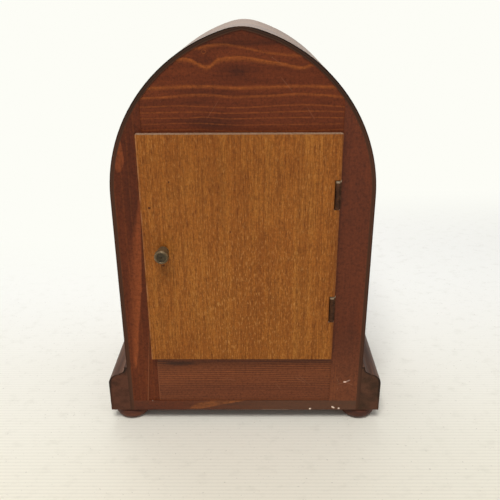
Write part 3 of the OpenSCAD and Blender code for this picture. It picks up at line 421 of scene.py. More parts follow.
def pine_grain(f, along, seed):
    """Fine short fibres along the board, from 0 to 1: noise that is long one way and thin the others."""
    sizes = {"X": (14.0, 1.6, 1.6), "Y": (1.6, 14.0, 1.6), "Z": (1.6, 1.6, 14.0)}[along]
    return f.cloud(sizes, 3.0, 0.7, (seed, seed, seed))


def pine_stain(f, tone, rings, fibres, extra=None, extra_share=0.0):
    """The stained colour: tone goes from deep to warm, rings come up orange, and fibres shade it lightly."""
    colour = f.graph(tone, 0.0, 1.0, [(0.0, stain_deep), (0.45, stain_red), (1.0, stain_warm)])
    colour = f.mix(rings, colour, ring_orange)
    if extra is not None:
        colour = f.mix(extra_share, colour, extra)
    pores = f.cloud((2.4, 2.4, 2.4), 4.0, 0.85, (2.0, 4.0, 6.0))
    colour = f.shade(1.0, colour, pores, [(0.34, 0.54), (0.5, 0.88), (0.66, 1.06)])
    return f.shade(0.6, colour, fibres, [(0.3, 0.66), (0.7, 1.0)])


print("a ring is", round(ring_orange[0] / stain_red[0], 1), "times as red as the stain round it")

# %% [markdown]
# # The top rail
#
# The rings of the top rail are wide and wander round a knot near the apex. A noise would bend them anyhow,
# so each ring is given as a curve, a list of places along the board, and the number of rings below a point
# is counted: whole on a ring, and growing evenly from one ring to the next. How broad and how strong a ring
# is then depends on that number alone.

# %% Top rail
ring_curves = [
    287.0,
    [(82, 292.5), (54, 293.2), (32, 293.1), (10, 291.5), (-19, 291.5), (-49, 291.7), (-78, 292.7)],
    [(82, 297.4), (47, 298.3), (32, 298.1), (17, 297.2), (3, 296.7), (-27, 297.0), (-82, 297.4)],
    [(82, 302.0), (57, 302.4), (46, 302.2), (36, 303.1), (30, 303.3), (22, 302.6), (10, 301.8),
     (-34, 302.7), (-82, 302.5)],
    [(82, 306.7), (39, 307.4), (30, 307.2), (19, 306.5), (3, 306.4), (-27, 307.2), (-63, 307.9),
     (-82, 307.3)],
    [(82, 311.4), (53, 312.3), (31, 311.5), (1, 310.7), (-26, 312.1), (-55, 312.8), (-82, 311.3)],
    [(81, 318.6), (63, 319.2), (43, 321.0), (25, 320.9), (10, 319.7), (1, 319.7), (-31, 320.7),
     (-52, 321.6), (-80, 319.4)],
    [(75, 326.3), (55, 327.2), (35, 327.8), (27, 327.9), (18, 327.2), (9, 326.5), (1, 326.3),
     (-28, 327.3), (-46, 327.8), (-74, 326.9)],
    [(47, 349.2), (42, 348.6), (36, 345.7), (30.5, 342.7), (26, 342.3), (23, 344.7), (20, 347.4),
     (15, 349.0), (6, 350.1), (-2, 349.9), (-19, 347.3), (-36, 344.5), (-47, 342.0), (-52, 343.1),
     (-57, 345.0)],
    [(38, 356.9), (28, 358.6), (20, 359.8), (9, 359.0), (-8, 355.8), (-16, 353.7), (-33, 351.7),
     (-42, 351.2)],
    374.0,
]
# For each ring: how far it reaches below and above itself, as a share of a year, and its strength.
ring_widths = [
    (0.2, 0.12, 0.42), (0.2, 0.12, 0.5), (0.2, 0.13, 0.58), (0.22, 0.14, 0.58), (0.22, 0.1, 0.62),
    (0.24, 0.16, 0.72), (0.34, 0.08, 0.9), (0.17, 0.16, 0.95), (0.2, 0.07, 0.68),
]


def ring_count(f, curves):
    """How many rings lie below a point: on ring number k it is k, and between two rings it grows evenly
    with height. A ring is a list of places (x, z) along the board. The first and last entries are plain
    heights."""
    heights = [c if isinstance(c, float) else f.curve(f.x, -90.0, 90.0, c) for c in curves]
    count = 0.0
    for below, above in zip(heights, heights[1:]):
        count = f.plus(count, f.fit(f.z, below, above))
    return count


def ring_profile(f, count, rings):
    """0 between the rings and a strength on each: it rises slowly below the ring and falls fast above it."""
    points = []
    for k, (below, above, strength) in enumerate(rings, 1):
        points += [(k - below, 0.0), (k, strength), (k + above, 0.0)]
    return f.graph(count, 0.0, len(rings) + 1.0, points)


def scratched(f, colour, lines, share, pale):
    """Lays pale scratches over a colour. Each line is (x, z, x, z, width)."""
    return f.mix(f.times(f.most(f.scratch(*line) for line in lines), share), colour, pale)


def top_rail_finish():
    f = Finish("stained_pine_rail")
    rings = ring_profile(f, ring_count(f, ring_curves), ring_widths)
    breaks = f.fit(f.cloud((7.0, 3.0, 2.0), 3.0, 0.6), 0.3, 0.62, 0.4, 1.0)
    rings = f.times(rings, breaks)
    knot = f.less(f.spot(29.7, 354.2, 2.4, 2.0), f.times(f.spot(29.7, 354.2, 1.7, 1.4), 1.5))
    rings = f.larger(rings, f.times(knot, 0.9))
    tone = f.fit(f.cloud((80.0, 60.0, 8.0), 3.0, 0.55, (5.0, 0.0, 3.0)), 0.25, 0.75, 0.28, 0.78)
    shade = f.plus(f.spot(3.6, 338.0, 24.0, 9.0), f.spot(31.0, 350.5, 13.0, 7.0))
    shade = f.plus(shade, f.plus(f.spot(3.6, 338.0, 9.0, 4.0), f.fit(f.z, 355.0, 362.0)))
    shade = f.plus(shade, f.spot(18.0, 301.0, 34.0, 11.0))
    tone = f.less(tone, f.times(shade, 0.2))
    fibres = pine_grain(f, "X", 3.0)
    colour = pine_stain(f, tone, rings, fibres)
    lines = [(-30, 336, -42, 322, 0.5), (-22, 351, -34, 343, 0.4), (18, 318, 30, 300, 0.35),
             (-52, 312, -60, 300, 0.4)]
    colour = scratched(f, colour, lines, 0.2, paint(160, 112, 84))
    dust = f.fit(f.cloud((1.1, 1.1, 1.1), 1.0, moved=(4.0, 0.0, 8.0)), 0.79, 0.82, 0.0, 0.5)
    colour = f.mix(dust, colour, paint(170, 130, 104))
    normal = f.bump(f.times_plus(rings, 0.8, f.times(fibres, 0.35)), 0.12)
    return f.finish(colour, 0.42, normal, Specular_IOR_Level=0.15)


dress(top_rail_finish(), "top_rail")

# %% [markdown]
# # The bottom rail
#
# This board is straight-grained, so one sine over the height makes all its rings. A little slow noise is
# added to the height first, or the rings would look ruled. They fade towards the foot, where the stain is
# thicker.

# %% Bottom rail
def bottom_rail_finish():
    f = Finish("stained_pine_rail_low")
    wander = f.cloud((150.0, 50.0, 20.0), 2.0, moved=(11.0, 0.0, 0.0))
    height = f.times_plus(wander, 6.0, f.z)
    wave = f.waves(height, 2.5)
    fade = f.fit(f.z, 34.0, 52.0, 0.25, 1.0, smooth=True)
    rings = f.times(f.fit(wave, 0.1, 1.0, 0.0, 0.8), fade)
    tone = f.fit(f.cloud((70.0, 50.0, 8.0), 3.0, moved=(2.0, 0.0, 9.0)), 0.2, 0.8, 0.4, 0.95)
    # Painted shadow of the door: the top of the rail and a patch under the door's lower edge are darkened,
    # and the rings fade there too.
    shade = f.larger(f.spot(62.0, 67.0, 22.0, 3.4), f.fit(f.z, 66.0, 69.0, 0.0, 0.6))
    tone = f.less(tone, f.times(shade, 0.55))
    rings = f.times(rings, f.less(1.0, shade))
    fibres = pine_grain(f, "X", 9.0)
    colour = pine_stain(f, tone, rings, fibres, paint(120, 84, 60), 0.16)
    lines = [(-48, 52, -60, 44, 0.5), (-52, 54, -66, 40, 0.4), (-30, 44, -36, 36, 0.4), (20, 50, 8, 47, 0.35)]
    colour = scratched(f, colour, lines, 0.28, paint(160, 112, 84))
    return f.finish(colour, 0.42, f.bump(fibres, 0.05), Specular_IOR_Level=0.22)


dress(bottom_rail_finish(), "bottom_rail")

# %% [markdown]
# # The left stile
#
# This board was cut across the border of the heartwood, and its sapwood shows as one long orange band. The
# band's two edges are curves over the height, sharp on the inner side and soft on the outer one. A small
# orange oval stands above it. Low down, two thin pale lines are painted highlights on the arris of a step in
# the surface and on the inner edge, and the outer edge is rubbed pale.

# %% Left stile
def left_stile_finish():
    f = Finish("stained_pine_stile")
    inner = f.curve(f.z, 55.0, 255.0, [(60, 104.5), (84, 100.9), (103, 99.3), (142, 94.3), (159, 92.6),
                                       (180, 91.1), (202, 90.1), (223, 88.3), (250, 86.0)])
    outer = f.curve(f.z, 55.0, 255.0, [(60, 108.5), (103, 109.0), (142, 108.0), (159, 107.2), (181, 104.4),
                                       (202, 99.0), (223, 93.0), (250, 88.0)])
    sharp = f.fit(f.less(f.x, inner), -0.5, 0.5)
    soft = f.fit(f.x, outer, f.plus(inner, 1.5), smooth=True)
    ends = f.times(f.fit(f.z, 256.0, 205.0, smooth=True), f.fit(f.z, 60.0, 66.0))
    band = f.times(f.times(sharp, soft), ends)
    slope = f.times_plus(f.less(f.z, 270.0), -0.14, 103.2)
    sap_u = f.over(f.less(f.x, slope), f.fit(f.z, 284.0, 266.0, 1.0, 4.6))
    sap_v = f.over(f.less(f.z, 270.6), 13.5)
    sap = f.fit(f.plus(f.times(sap_u, sap_u), f.times(sap_v, sap_v)), 0.75, 1.15, 0.75, 0.0)
    tone = f.fit(f.cloud((16.0, 40.0, 150.0), 3.0, moved=(3.0, 0.0, 40.0)), 0.3, 0.7, 0.12, 0.5)
    tone = f.plus(tone, f.fit(f.z, 240.0, 60.0, 0.0, 0.2))
    line = f.times_plus(f.cloud((60.0, 60.0, 240.0), 1.0), 9.0, f.x)
    rings = f.fit(f.waves(line, 7.0), 0.7, 1.0, 0.0, 0.12)
    fibres = pine_grain(f, "Z", 14.0)
    colour = pine_stain(f, tone, rings, fibres, paint(144, 72, 35), f.larger(band, f.times(sap, 0.8)))
    rim = f.curve(f.z, 90.0, 220.0, [(100, 113.0), (140, 112.6), (210, 112.2)])
    rubbed = f.fit(f.less(f.x, rim), -1.6, 0.6)
    flakes = f.fit(f.cloud((1.3, 1.3, 2.2), 2.0, moved=(1.0, 0.0, 9.0)), 0.52, 0.66, 0.0, 0.5)
    rubbed = f.times(f.times(rubbed, flakes), f.spot(112.0, 155.0, 60.0, 66.0))
    colour = f.mix(rubbed, colour, paint(168, 126, 108))
    # Painted highlights: two thin pale lines low down, where light catches the arris of the step and of the
    # stile's inner edge.
    step = f.less(f.x, f.times_plus(f.z, -0.0827, 97.5))
    arris_highlight = f.times(f.fit(step, 0.1, 1.1, 1.0, 0.0), f.fit(step, -0.5, 0.1))
    edge = f.times(f.fit(f.x, 84.6, 83.8), f.fit(f.z, 70.0, 66.0))
    arris_highlight = f.larger(f.times(arris_highlight, f.fit(f.z, 112.0, 95.0)), edge)
    colour = f.mix(f.times(arris_highlight, 0.6), colour, paint(150, 92, 60))
    return f.finish(colour, 0.4, f.bump(fibres, 0.05), Specular_IOR_Level=0.15)


dress(left_stile_finish(), "left_stile")

# %% [markdown]
# # The right stile
#
# The plainest board: dark and even, with upright rings that show best on the inner side of its foot. There
# it also has a short bright scuff with a tail, and a few fine scratches.

# %% Right stile
def right_stile_finish():
    f = Finish("stained_pine_stile_plain")
    tone = f.fit(f.cloud((16.0, 40.0, 130.0), 3.0, moved=(8.0, 0.0, 0.0)), 0.25, 0.75, 0.28, 0.66)
    tone = f.plus(tone, f.fit(f.z, 90.0, 40.0, 0.0, 0.44))
    foot = f.times(f.fit(f.z, 80.0, 55.0, smooth=True), f.fit(f.x, -93.5, -89.5, smooth=True))
    line = f.waves(f.x, 2.4)
    rings = f.times(f.fit(line, 0.2, 1.0, 0.0, 0.34), f.times_plus(foot, 0.85, 0.1))
    fibres = pine_grain(f, "Z", 21.0)
    colour = pine_stain(f, tone, rings, fibres, paint(126, 86, 60), f.fit(f.z, 110.0, 40.0, 0.0, 0.2))
    lines = [(-89, 43, -99, 45.5, 0.5), (-90.5, 35, -91.5, 40, 0.4), (-98, 46, -107, 41.5, 0.5),
             (-89, 52, -92, 45, 0.35)]
    colour = scratched(f, colour, lines, 0.35, paint(170, 118, 92))
    tail = f.times(f.scratch(-97.0, 45.4, -103.4, 48.4, 0.8), 0.45)
    scuff = f.most([f.fit(f.spot(-97.9, 46.0, 2.0, 1.0), 0.1, 0.7), tail])
    colour = f.mix(scuff, colour, paint(238, 206, 188))
    return f.finish(colour, 0.42, f.bump(fibres, 0.05), Specular_IOR_Level=0.22)


dress(right_stile_finish(), "right_stile")

# %% [markdown]
# # The bottom board
#
# Only the rear edge of this board is seen. It is dark, with one orange wedge of summer wood between two
# curves, and a few pale chips show along its lower corner.

# %% Bottom board
def bottom_board_finish():
    f = Finish("stained_pine_board")
    tone = f.fit(f.cloud((80.0, 60.0, 5.0), 2.0), 0.3, 0.7, 0.25, 0.65)
    top, low = (f.curve(f.x, -10.0, 60.0, places, "LINEAR") for places in (
        [(57, 13.5), (48.3, 20.9), (40, 23.4), (29.8, 24.9), (-3, 24.9)],
        [(45, 14.0), (33, 16.4), (22.6, 19.0), (10, 21.6), (-4, 25.0)]))
    wedge = f.times(f.fit(f.less(f.z, low), -0.3, 0.5), f.fit(f.less(top, f.z), -0.3, 1.6))
    wedge = f.times(wedge, f.fit(f.y, 62.0, 70.0))
    fibres = pine_grain(f, "X", 17.0)
    wedge = f.times(wedge, f.fit(f.cloud((9.0, 9.0, 2.0), 3.0, 0.7), 0.36, 0.6, 0.25, 0.85))
    colour = pine_stain(f, tone, 0.0, fibres, paint(156, 90, 44), wedge)
    colour = f.mix(f.times(f.fit(f.x, 70.0, -30.0, 0.1, 0.6), f.less(1.0, wedge)), colour, paint(89, 65, 49))
    worn = f.times(f.scratch(-8.0, 13.2, -52.0, 13.2, 0.5), 0.24)
    chips = f.most([f.spot(-64.9, 14.2, 1.3, 1.2), f.spot(-93.4, 14.6, 1.2, 1.2),
                    f.times(f.spot(91.3, 24.0, 0.9, 1.6), 0.22),
                    f.scratch(-86.0, 17.3, -89.3, 14.6, 1.1), worn])
    torn = f.fit(f.cloud((1.1, 2.0, 0.9), 2.0), 0.3, 0.42, 0.5, 1.0)
    chips = f.times(f.times(f.fit(chips, 0.15, 0.4), torn), f.fit(f.y, 68.0, 70.0))
    colour = f.mix(chips, colour, paint(236, 212, 192))
    return f.finish(colour, 0.45, f.bump(fibres, 0.05), Specular_IOR_Level=0.22)


dress(bottom_board_finish(), "bottom_board")

# %% [markdown]
# # The door's plywood
#
# The door is a plain plywood panel whose face veneer has short dark vessels and bright rays, all along its
# height. Two layers of long thin noise, one for dark flecks and one for bright, do more than a picture
# would, because they run on round the edges. The top edge is raw, unvarnished wood, and faces that point up
# are also given a paler colour as a painted highlight from the light above.

# %% Door
def door_finish():
    """Broad streaks, then long grain, short dark vessels and short bright rays, each a noise of its own
    size."""
    f = Finish("door_veneer")
    low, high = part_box("back_door")
    broad = f.cloud((8.0, 30.0, 260.0), 4.0, 0.65, (40.0, 0.0, 11.0))
    patchy = f.cloud((26.0, 30.0, 40.0), 2.0, moved=(3.0, 0.0, 5.0))
    tone = f.times_plus(broad, 0.6, f.times(patchy, 0.4))
    colour = f.graph(tone, 0.3, 0.7, [(0.3, paint(141, 79, 27)), (0.5, paint(157, 94, 34)),
                                      (0.7, paint(169, 109, 44))])
    grain = f.cloud((1.6, 1.6, 60.0), 3.0, 0.6, (3.0, 1.0, 6.0))
    dark = f.cloud((1.0, 1.0, 11.0), 3.0, 0.7, (1.0, 5.0, 2.0))
    bright = f.cloud((0.9, 0.9, 5.0), 2.0, 0.6, (9.0, 2.0, 7.0))
    tooth = f.cloud((1.8, 1.8, 1.8), 4.0, 0.85, (2.0, 6.0, 4.0))
    colour = f.mix(f.fit(grain, 0.4, 0.66, 0.0, 0.62), colour, paint(116, 62, 20))
    colour = f.mix(f.fit(dark, 0.5, 0.66, 0.0, 0.85), colour, paint(104, 50, 14))
    colour = f.shade(1.0, colour, tooth, [(0.34, 0.64), (0.5, 0.92), (0.66, 1.12)])
    middle = f.spot(-8.0, 140.0, 75.0, 90.0)
    lights = f.times(f.fit(bright, 0.54, 0.72), f.times_plus(middle, 0.24, 0.3))
    colour = f.mix(lights, colour, paint(206, 148, 80))
    reddish = f.times(f.spot(20.0, 262.0, 85.0, 45.0), 0.35)
    colour = f.mix(reddish, colour, f.mix(1.0, colour, paint(222, 214, 200), "MULTIPLY"))
    nails = f.larger(f.spot(61.9, 250.6, 0.9, 0.9), f.spot(79.9, 227.7, 1.5, 1.4))
    nails = f.larger(nails, f.spot(10.9, 205.6, 0.75, 0.75))
    nails = f.larger(nails, f.times(f.spot(71.0, 173.9, 2.0, 1.4), 0.7))
    colour = f.mix(nails, colour, paint(64, 26, 14))
    colour = f.mix(f.fit(f.z, 70.0, 64.0, 0.0, 0.25), colour, paint(92, 52, 24))
    side = f.fit(f.x, high.x / mm - 1.3, high.x / mm - 0.4)
    worn = f.fit(f.cloud((2.0, 2.0, 9.0), 3.0, moved=(6.0, 0.0, 3.0)), 0.4, 0.62, 0.0, 0.5)
    colour = f.mix(f.times(side, worn), colour, paint(176, 124, 84))
    # Painted shade along the hinge-side edge, where the narrow gap to the stile lies in shadow.
    colour = f.mix(f.fit(f.x, low.x / mm + 3.5, low.x / mm, 0.0, 0.5, smooth=True), colour, paint(92, 44, 22))
    # Painted highlight: faces that point up, such as the raw top edge, take a paler colour, as the light from
    # above would give them.
    up = f.fit(f.parts(f.normal)[2], 0.5, 0.8)
    colour = f.mix(up, colour, f.mix(f.fit(bright, 0.35, 0.65), paint(118, 86, 62), paint(178, 150, 126)))
    normal = f.bump(f.less(f.times(bright, 0.5), f.plus(f.times(dark, 0.3), nails)), 0.06)
    return f.finish(colour, 0.46, normal, Specular_IOR_Level=0.14)


dress(door_finish(), "back_door")

# %% [markdown]
# # Lacquered veneer
#
# The bent skin, the front and the mouldings wear the shiny lacquer of the clock's good side. Seen from
# behind, the skin's top is looked along at a very flat angle, and there the lacquer mirrors the white room:
# the dark wood turns pale pinkish grey. A clear coat over the wood does part of this, and the rest is a
# painted reflection: the faces that point up are given a paler brown. The skin's rear edge is raw plywood,
# dark with stain, and its plies are found by how deep a point lies under the veneer.

# %% Lacquered veneer
def veneer_colour(f, sizes, dark, light, seed):
    """Veneer streaks: long noise, sharpened, between a dark and a light brown, with fine fibres over it."""
    streaks = f.cloud(sizes, 4.0, 0.62, (seed, seed, seed), twist=0.3)
    fine = f.cloud(tuple(s * 0.16 for s in sizes), 2.0, moved=(seed, 0.0, seed))
    colour = f.mix(f.fit(streaks, 0.32, 0.68), dark, light)
    return f.shade(0.4, colour, fine, [(0.2, 0.7), (0.8, 1.0)]), streaks


arc_radius, past_middle, springing = 142.2, 28.2, 235.0


def ply_depth(f):
    """How deep a point lies in the bent skin. Each side is an arc round a centre past the middle line, and
    below the springing it is upright, so the depth is the arc's radius less the distance from that
    centre."""
    across = f.plus(f.size(f.x), past_middle)
    up = f.larger(f.less(f.z, springing), 0.0)
    far = f.root(f.plus(f.times(across, across), f.times(up, up)))
    return f.less(arc_radius, far)


def skin_finish():
    f = Finish("skin_walnut")
    colour, streaks = veneer_colour(f, (150.0, 3.2, 150.0), paint(58, 31, 18), paint(112, 62, 34), 4.0)
    # Painted reflection: faces that point up get a paler brown, standing in for the white room that the
    # lacquer mirrors at a flat angle.
    top_painted_reflection = f.fit(f.parts(f.normal)[2], 0.25, 0.95, smooth=True)
    bands = f.cloud((150.0, 15.0, 110.0), 3.0, 0.7, (8.0, 3.0, 0.0))
    broad = f.times_plus(f.fit(streaks, 0.36, 0.64), 0.4, f.fit(bands, 0.36, 0.6, 0.0, 0.6))
    colour = f.mix(top_painted_reflection, colour, f.mix(broad, paint(72, 43, 24), paint(138, 99, 60)))
    back = f.fit(f.parts(f.normal)[1], 0.6, 0.9)
    ply = f.times_plus(f.less(f.cloud((24.0,) * 3, 3.0), 0.5), 1.2, ply_depth(f))
    edge = f.graph(ply, -1.0, 5.0, [(-1.0, paint(26, 18, 13)), (0.9, paint(28, 20, 14)),
                                    (1.5, paint(60, 38, 25)), (2.2, paint(48, 30, 20)),
                                    (2.6, paint(36, 24, 16)), (3.1, paint(64, 40, 26)),
                                    (5.0, paint(66, 40, 26))])
    edge = f.mix(f.fit(f.z, 325.0, 270.0, 0.05, 0.38, smooth=True), edge, paint(92, 55, 38))
    low = f.fit(f.z, 66.0, 58.0)
    edge = f.mix(low, edge, f.mix(f.fit(ply, 0.0, 4.0), paint(66, 42, 30), paint(84, 52, 36)))
    colour = f.mix(back, colour, edge)
    f.put(f.shader.inputs["Coat Weight"], f.times(f.less(1.0, back), f.fit(streaks, 0.35, 0.65, 0.03, 0.18)))
    return f.finish(colour, f.fit(back, 0.0, 1.0, 0.4, 0.7), f.bump(streaks, 0.1), Coat_Roughness=0.22,
                    Specular_IOR_Level=0.15)


dress(skin_finish(), "case_skin")

# %% [markdown]
# # The mouldings
#
# Lacquer runs along each moulding, and behind there is bare end grain. The lacquer's edge shows on the end
# as a black line that follows the outline, so the outline is given once more as a curve: how far the
# moulding reaches out at each height.

# %% Mouldings
moulding_reach = [
    (13, 133.0), (44, 133.0), (47, 132.6), (50, 131.1), (52, 129.3), (53.5, 127.0), (54.5, 122.6),
    (55.7, 122.5), (56.2, 120.3), (57.2, 118.7), (58.7, 117.5), (61.7, 116.7),
]
moulding_top = 63.0


def moulding_finish(name, sizes, seed):
    f = Finish(name)
    colour, streaks = veneer_colour(f, sizes, paint(44, 26, 18), paint(112, 70, 44), seed)
    back = f.fit(f.parts(f.normal)[1], 0.6, 0.9)
    pores = f.cloud((1.6, 40.0, 1.1), 3.0, 0.7)
    blotch = f.cloud((11.0, 30.0, 8.0), 3.0, moved=(seed, 0.0, 0.0))
    # The end at negative x takes slightly different browns from the other end.
    minus_x_end = f.fit(f.x, 10.0, -10.0)
    end = f.mix(f.fit(blotch, 0.34, 0.6), f.mix(minus_x_end, paint(73, 46, 34), paint(70, 49, 36)),
                f.mix(minus_x_end, paint(95, 59, 44), paint(94, 62, 46)))
    end = f.shade(0.75, end, pores, [(0.3, 0.62), (0.7, 1.0)])
    deep = f.less(f.curve(f.z, 10.0, 66.0, moulding_reach, "LINEAR"), f.size(f.x))
    deep = f.sum("MINIMUM", deep, f.less(moulding_top, f.z))
    line = f.fit(f.times_plus(blotch, 2.0, deep), 2.0, 4.2, 0.85, 0.0, smooth=True)
    end = f.mix(f.times(line, f.fit(f.z, 20.0, 44.0, 0.35, 1.0)), end, paint(34, 26, 21))
    colour = f.mix(back, colour, end)
    f.put(f.shader.inputs["Coat Weight"], f.times(f.less(1.0, back), f.fit(streaks, 0.35, 0.65, 0.0, 0.1)))
    return f.finish(colour, f.fit(back, 0.0, 1.0, 0.46, 0.7), f.bump(f.times_plus(pores, 0.4, streaks), 0.1),
                    Coat_Roughness=0.35, Specular_IOR_Level=0.12)


dress(moulding_finish("stained_moulding", (7.0, 150.0, 5.0), 3.0), "left_moulding", "right_moulding")
dress(moulding_finish("stained_moulding_front", (150.0, 7.0, 5.0), 8.0), "front_moulding")

# %% [markdown]
# # The front panel
#
# The good side has crown-cut veneer, whose growth rings stand as arches one above another. Rings are a sine
# of the height, and the height is lowered to both sides by a hyperbola, which gives the arches a round
# crown and straight legs.

# %% Front panel
def front_finish():
    """The height is lowered by the root of the squared distance from the middle line plus a constant, moved
    by noise, and cut into rings by a sine."""
    f = Finish("front_veneer")
    aside = f.less(f.x, 9.0)
    leg = f.root(f.times_plus(aside, aside, 260.0))
    drift = f.cloud((50.0, 40.0, 210.0), 3.0, 0.5, (12.0, 0.0, 5.0))
    height = f.times_plus(leg, -4.2, f.times_plus(drift, 160.0, f.z))
    rings = f.times_plus(f.waves(height, 23.0), 0.5, 0.5)
    fine = f.cloud((0.9, 6.0, 60.0), 4.0, 0.6, (6.0, 0.0, 2.0))
    pores = f.cloud((0.35, 2.0, 5.0), 2.0, moved=(2.0, 0.0, 1.0))
    bold = f.fit(f.cloud((60.0, 60.0, 90.0), 2.0, moved=(4.0, 0.0, 6.0)), 0.3, 0.7, 0.25, 0.9)
    rings = f.times(rings, bold)
    colour = f.graph(rings, 0.0, 1.0, [(0.0, paint(112, 57, 29)), (0.4, paint(100, 50, 25)),
                                       (0.9, paint(78, 38, 20)), (1.0, paint(70, 33, 18))])
    colour = f.shade(0.7, colour, fine, [(0.3, 0.6), (0.7, 1.0)])
    colour = f.mix(f.fit(pores, 0.6, 0.75, 0.0, 0.5), colour, paint(46, 22, 12))
    return f.finish(colour, 0.34, f.bump(f.times_plus(pores, 0.5, fine), 0.03),
                    Coat_Weight=0.3, Coat_Roughness=0.12, Specular_IOR_Level=0.15)


dress(front_finish(), "front_panel")

# %% [markdown]
# # The feet
#
# The bun feet are turned from solid wood with the grain lying flat, so their rings are layers one above
# another and the flecks run along them.

# %% Feet
def feet_finish():
    f = Finish("turned_feet")
    rings = f.cloud((30.0, 30.0, 2.0), 3.0)
    flecks = f.cloud((5.0, 1.2, 1.2), 3.0, 0.6)
    colour = f.mix(f.fit(rings, 0.35, 0.65), paint(66, 32, 21), paint(96, 50, 31))
    colour = f.mix(f.fit(flecks, 0.58, 0.75, 0.0, 0.5), colour, paint(128, 74, 46))
    return f.finish(colour, 0.5, f.bump(rings, 0.1), Specular_IOR_Level=0.3)


dress(feet_finish(), "bun_feet")

# %% [markdown]
# # Metals
#
# Brass, bronze, bright and blued steel and black iron share one recipe. Broad noise makes the tarnish, fine
# stretched noise makes the brushing or the turning marks, and both change the roughness more than the
# colour, as on real metal. The recipe is called with other colours and other sizes of the marks for each of
# them.

# %% Metals
def metal_finish(name, clean, tarnished, rough, brushed=(0.25, 0.25, 9.0), patch=24.0):
    """Metal whose colour and roughness drift with its tarnish, under fine brushing along the longest size."""
    f = Finish(name)
    cloud = f.fit(f.cloud((patch,) * 3, 5.0, 0.55, (2.0, 7.0, 1.0)), 0.35, 0.8)
    marks = f.cloud(brushed, 2.0, moved=(5.0, 1.0, 3.0))
    colour = f.mix(cloud, clean, tarnished)
    spread = f.times_plus(cloud, 0.2, f.fit(marks, 0.2, 0.8, rough - 0.05, rough + 0.07))
    return f.finish(colour, spread, f.bump(marks, 0.012), metal=1.0)


print("the recipe for metal is ready")

# %% [markdown]
# # The hinges
#
# The two butt hinges have gone dark brown, and the upper end of each pin gets a painted highlight, where
# the end of the barrel catches the light from above. Those ends are found from the box of the leaves: one
# is at the top of the box, the other one hinge length above its bottom.

# %% Hinges
hinge_long = 25.0
low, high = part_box("door_hinge_leaves")
pin_ends = [high.z / mm, low.z / mm + hinge_long]


def hinge_finish():
    f = Finish("aged_brass")
    patch = f.cloud((5.0,) * 3, 5.0, 0.6, (2.0, 7.0, 1.0))
    colour = f.mix(f.fit(patch, 0.3, 0.62), paint(92, 58, 37), paint(57, 35, 23))
    # Painted highlight: a pale band at the upper end of each pin, where the barrel's top catches the light.
    rubbed = f.most(f.fit(f.size(f.less(f.z, end - 0.6)), 1.6, 0.4) for end in pin_ends)
    colour = f.mix(f.times(rubbed, 0.75), colour, paint(176, 156, 132))
    return f.finish(colour, f.fit(patch, 0.2, 0.8, 0.4, 0.6), f.bump(patch, 0.02), metal=0.8)


dress(hinge_finish(), "door_hinge_leaves", "frame_hinge_leaves")
dress(metal_finish("plain_brass", paint(206, 168, 96), paint(150, 112, 62), 0.3), "door_latch")

# %% [markdown]
# # Turned brass
#
# The bezel, its seat and the pendulum's bob come off a lathe, which leaves fine rings round the middle.
# Noise over the distance from the axis makes such rings, but it would be the same at every angle. So the
# noise also takes in the direction, as a point on a small circle, and the rings drift a little on their way
# round.

# %% Turned brass
def lathe_place(f, x, z, fine, long):
    """A point's place as a lathe sees it: its distance from the axis, and its direction as a point on a small
    circle, so that noise made from it runs round in rings without a seam."""
    east, north = f.less(f.x, x), f.less(f.z, z)
    far = f.root(f.plus(f.times(east, east), f.times(north, north)))
    around = [f.times(f.over(side, far), long) for side in (east, north)]
    return far, f.step("ShaderNodeCombineXYZ", [f.times(far, fine), *around]).outputs[0]


def turned_finish(name, clean, tarnished, rough, of_node):
    """Metal turned on a lathe: fine rings round the middle of a node, and a little tarnish."""
    f = Finish(name)
    low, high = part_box(of_node)
    place = lathe_place(f, (low.x + high.x) / 2 / mm, (low.z + high.z) / 2 / mm, 2.4, 1.6)[1]
    rings = f.noise(place, 3.0, 0.6)
    cloud = f.fit(f.cloud((30.0,) * 3, 3.0, 0.5, (2.0, 7.0, 1.0)), 0.35, 0.8)
    spread = f.times_plus(cloud, 0.12, f.fit(rings, 0.2, 0.8, rough - 0.04, rough + 0.06))
    return f.finish(f.mix(cloud, clean, tarnished), spread, f.bump(rings, 0.006), metal=1.0)


# %% [markdown]
# # The knob and the other metals
#
# The knob's brass has gone brown, lighter on the rims. Its flat face is given a darker colour as a painted
# shade, standing in for the dim room that the face mirrors; the face is found by its direction, straight
# back. The pieces inside then take the plain recipe, each kind of metal with its own name.

# %% Knob and other metals
def knob_finish():
    f = Finish("bronze_knob")
    # Painted shade: the flat face, facing straight back, is darkened, as the dim room it mirrors would make
    # it.
    face_painted_shade = f.fit(f.parts(f.normal)[1], 0.8, 0.97)
    patch = f.cloud((2.2, 2.2, 2.2), 4.0, 0.65, (4.0, 1.0, 2.0))
    colour = f.mix(f.fit(patch, 0.35, 0.65), paint(126, 105, 76), paint(93, 76, 52))
    colour = f.mix(f.times(face_painted_shade, f.fit(patch, 0.3, 0.7, 0.75, 1.0)), colour, paint(52, 43, 30))
    return f.finish(colour, f.fit(patch, 0.3, 0.7, 0.34, 0.5), f.bump(patch, 0.04), metal=0.55,
                    Specular_IOR_Level=0.4)


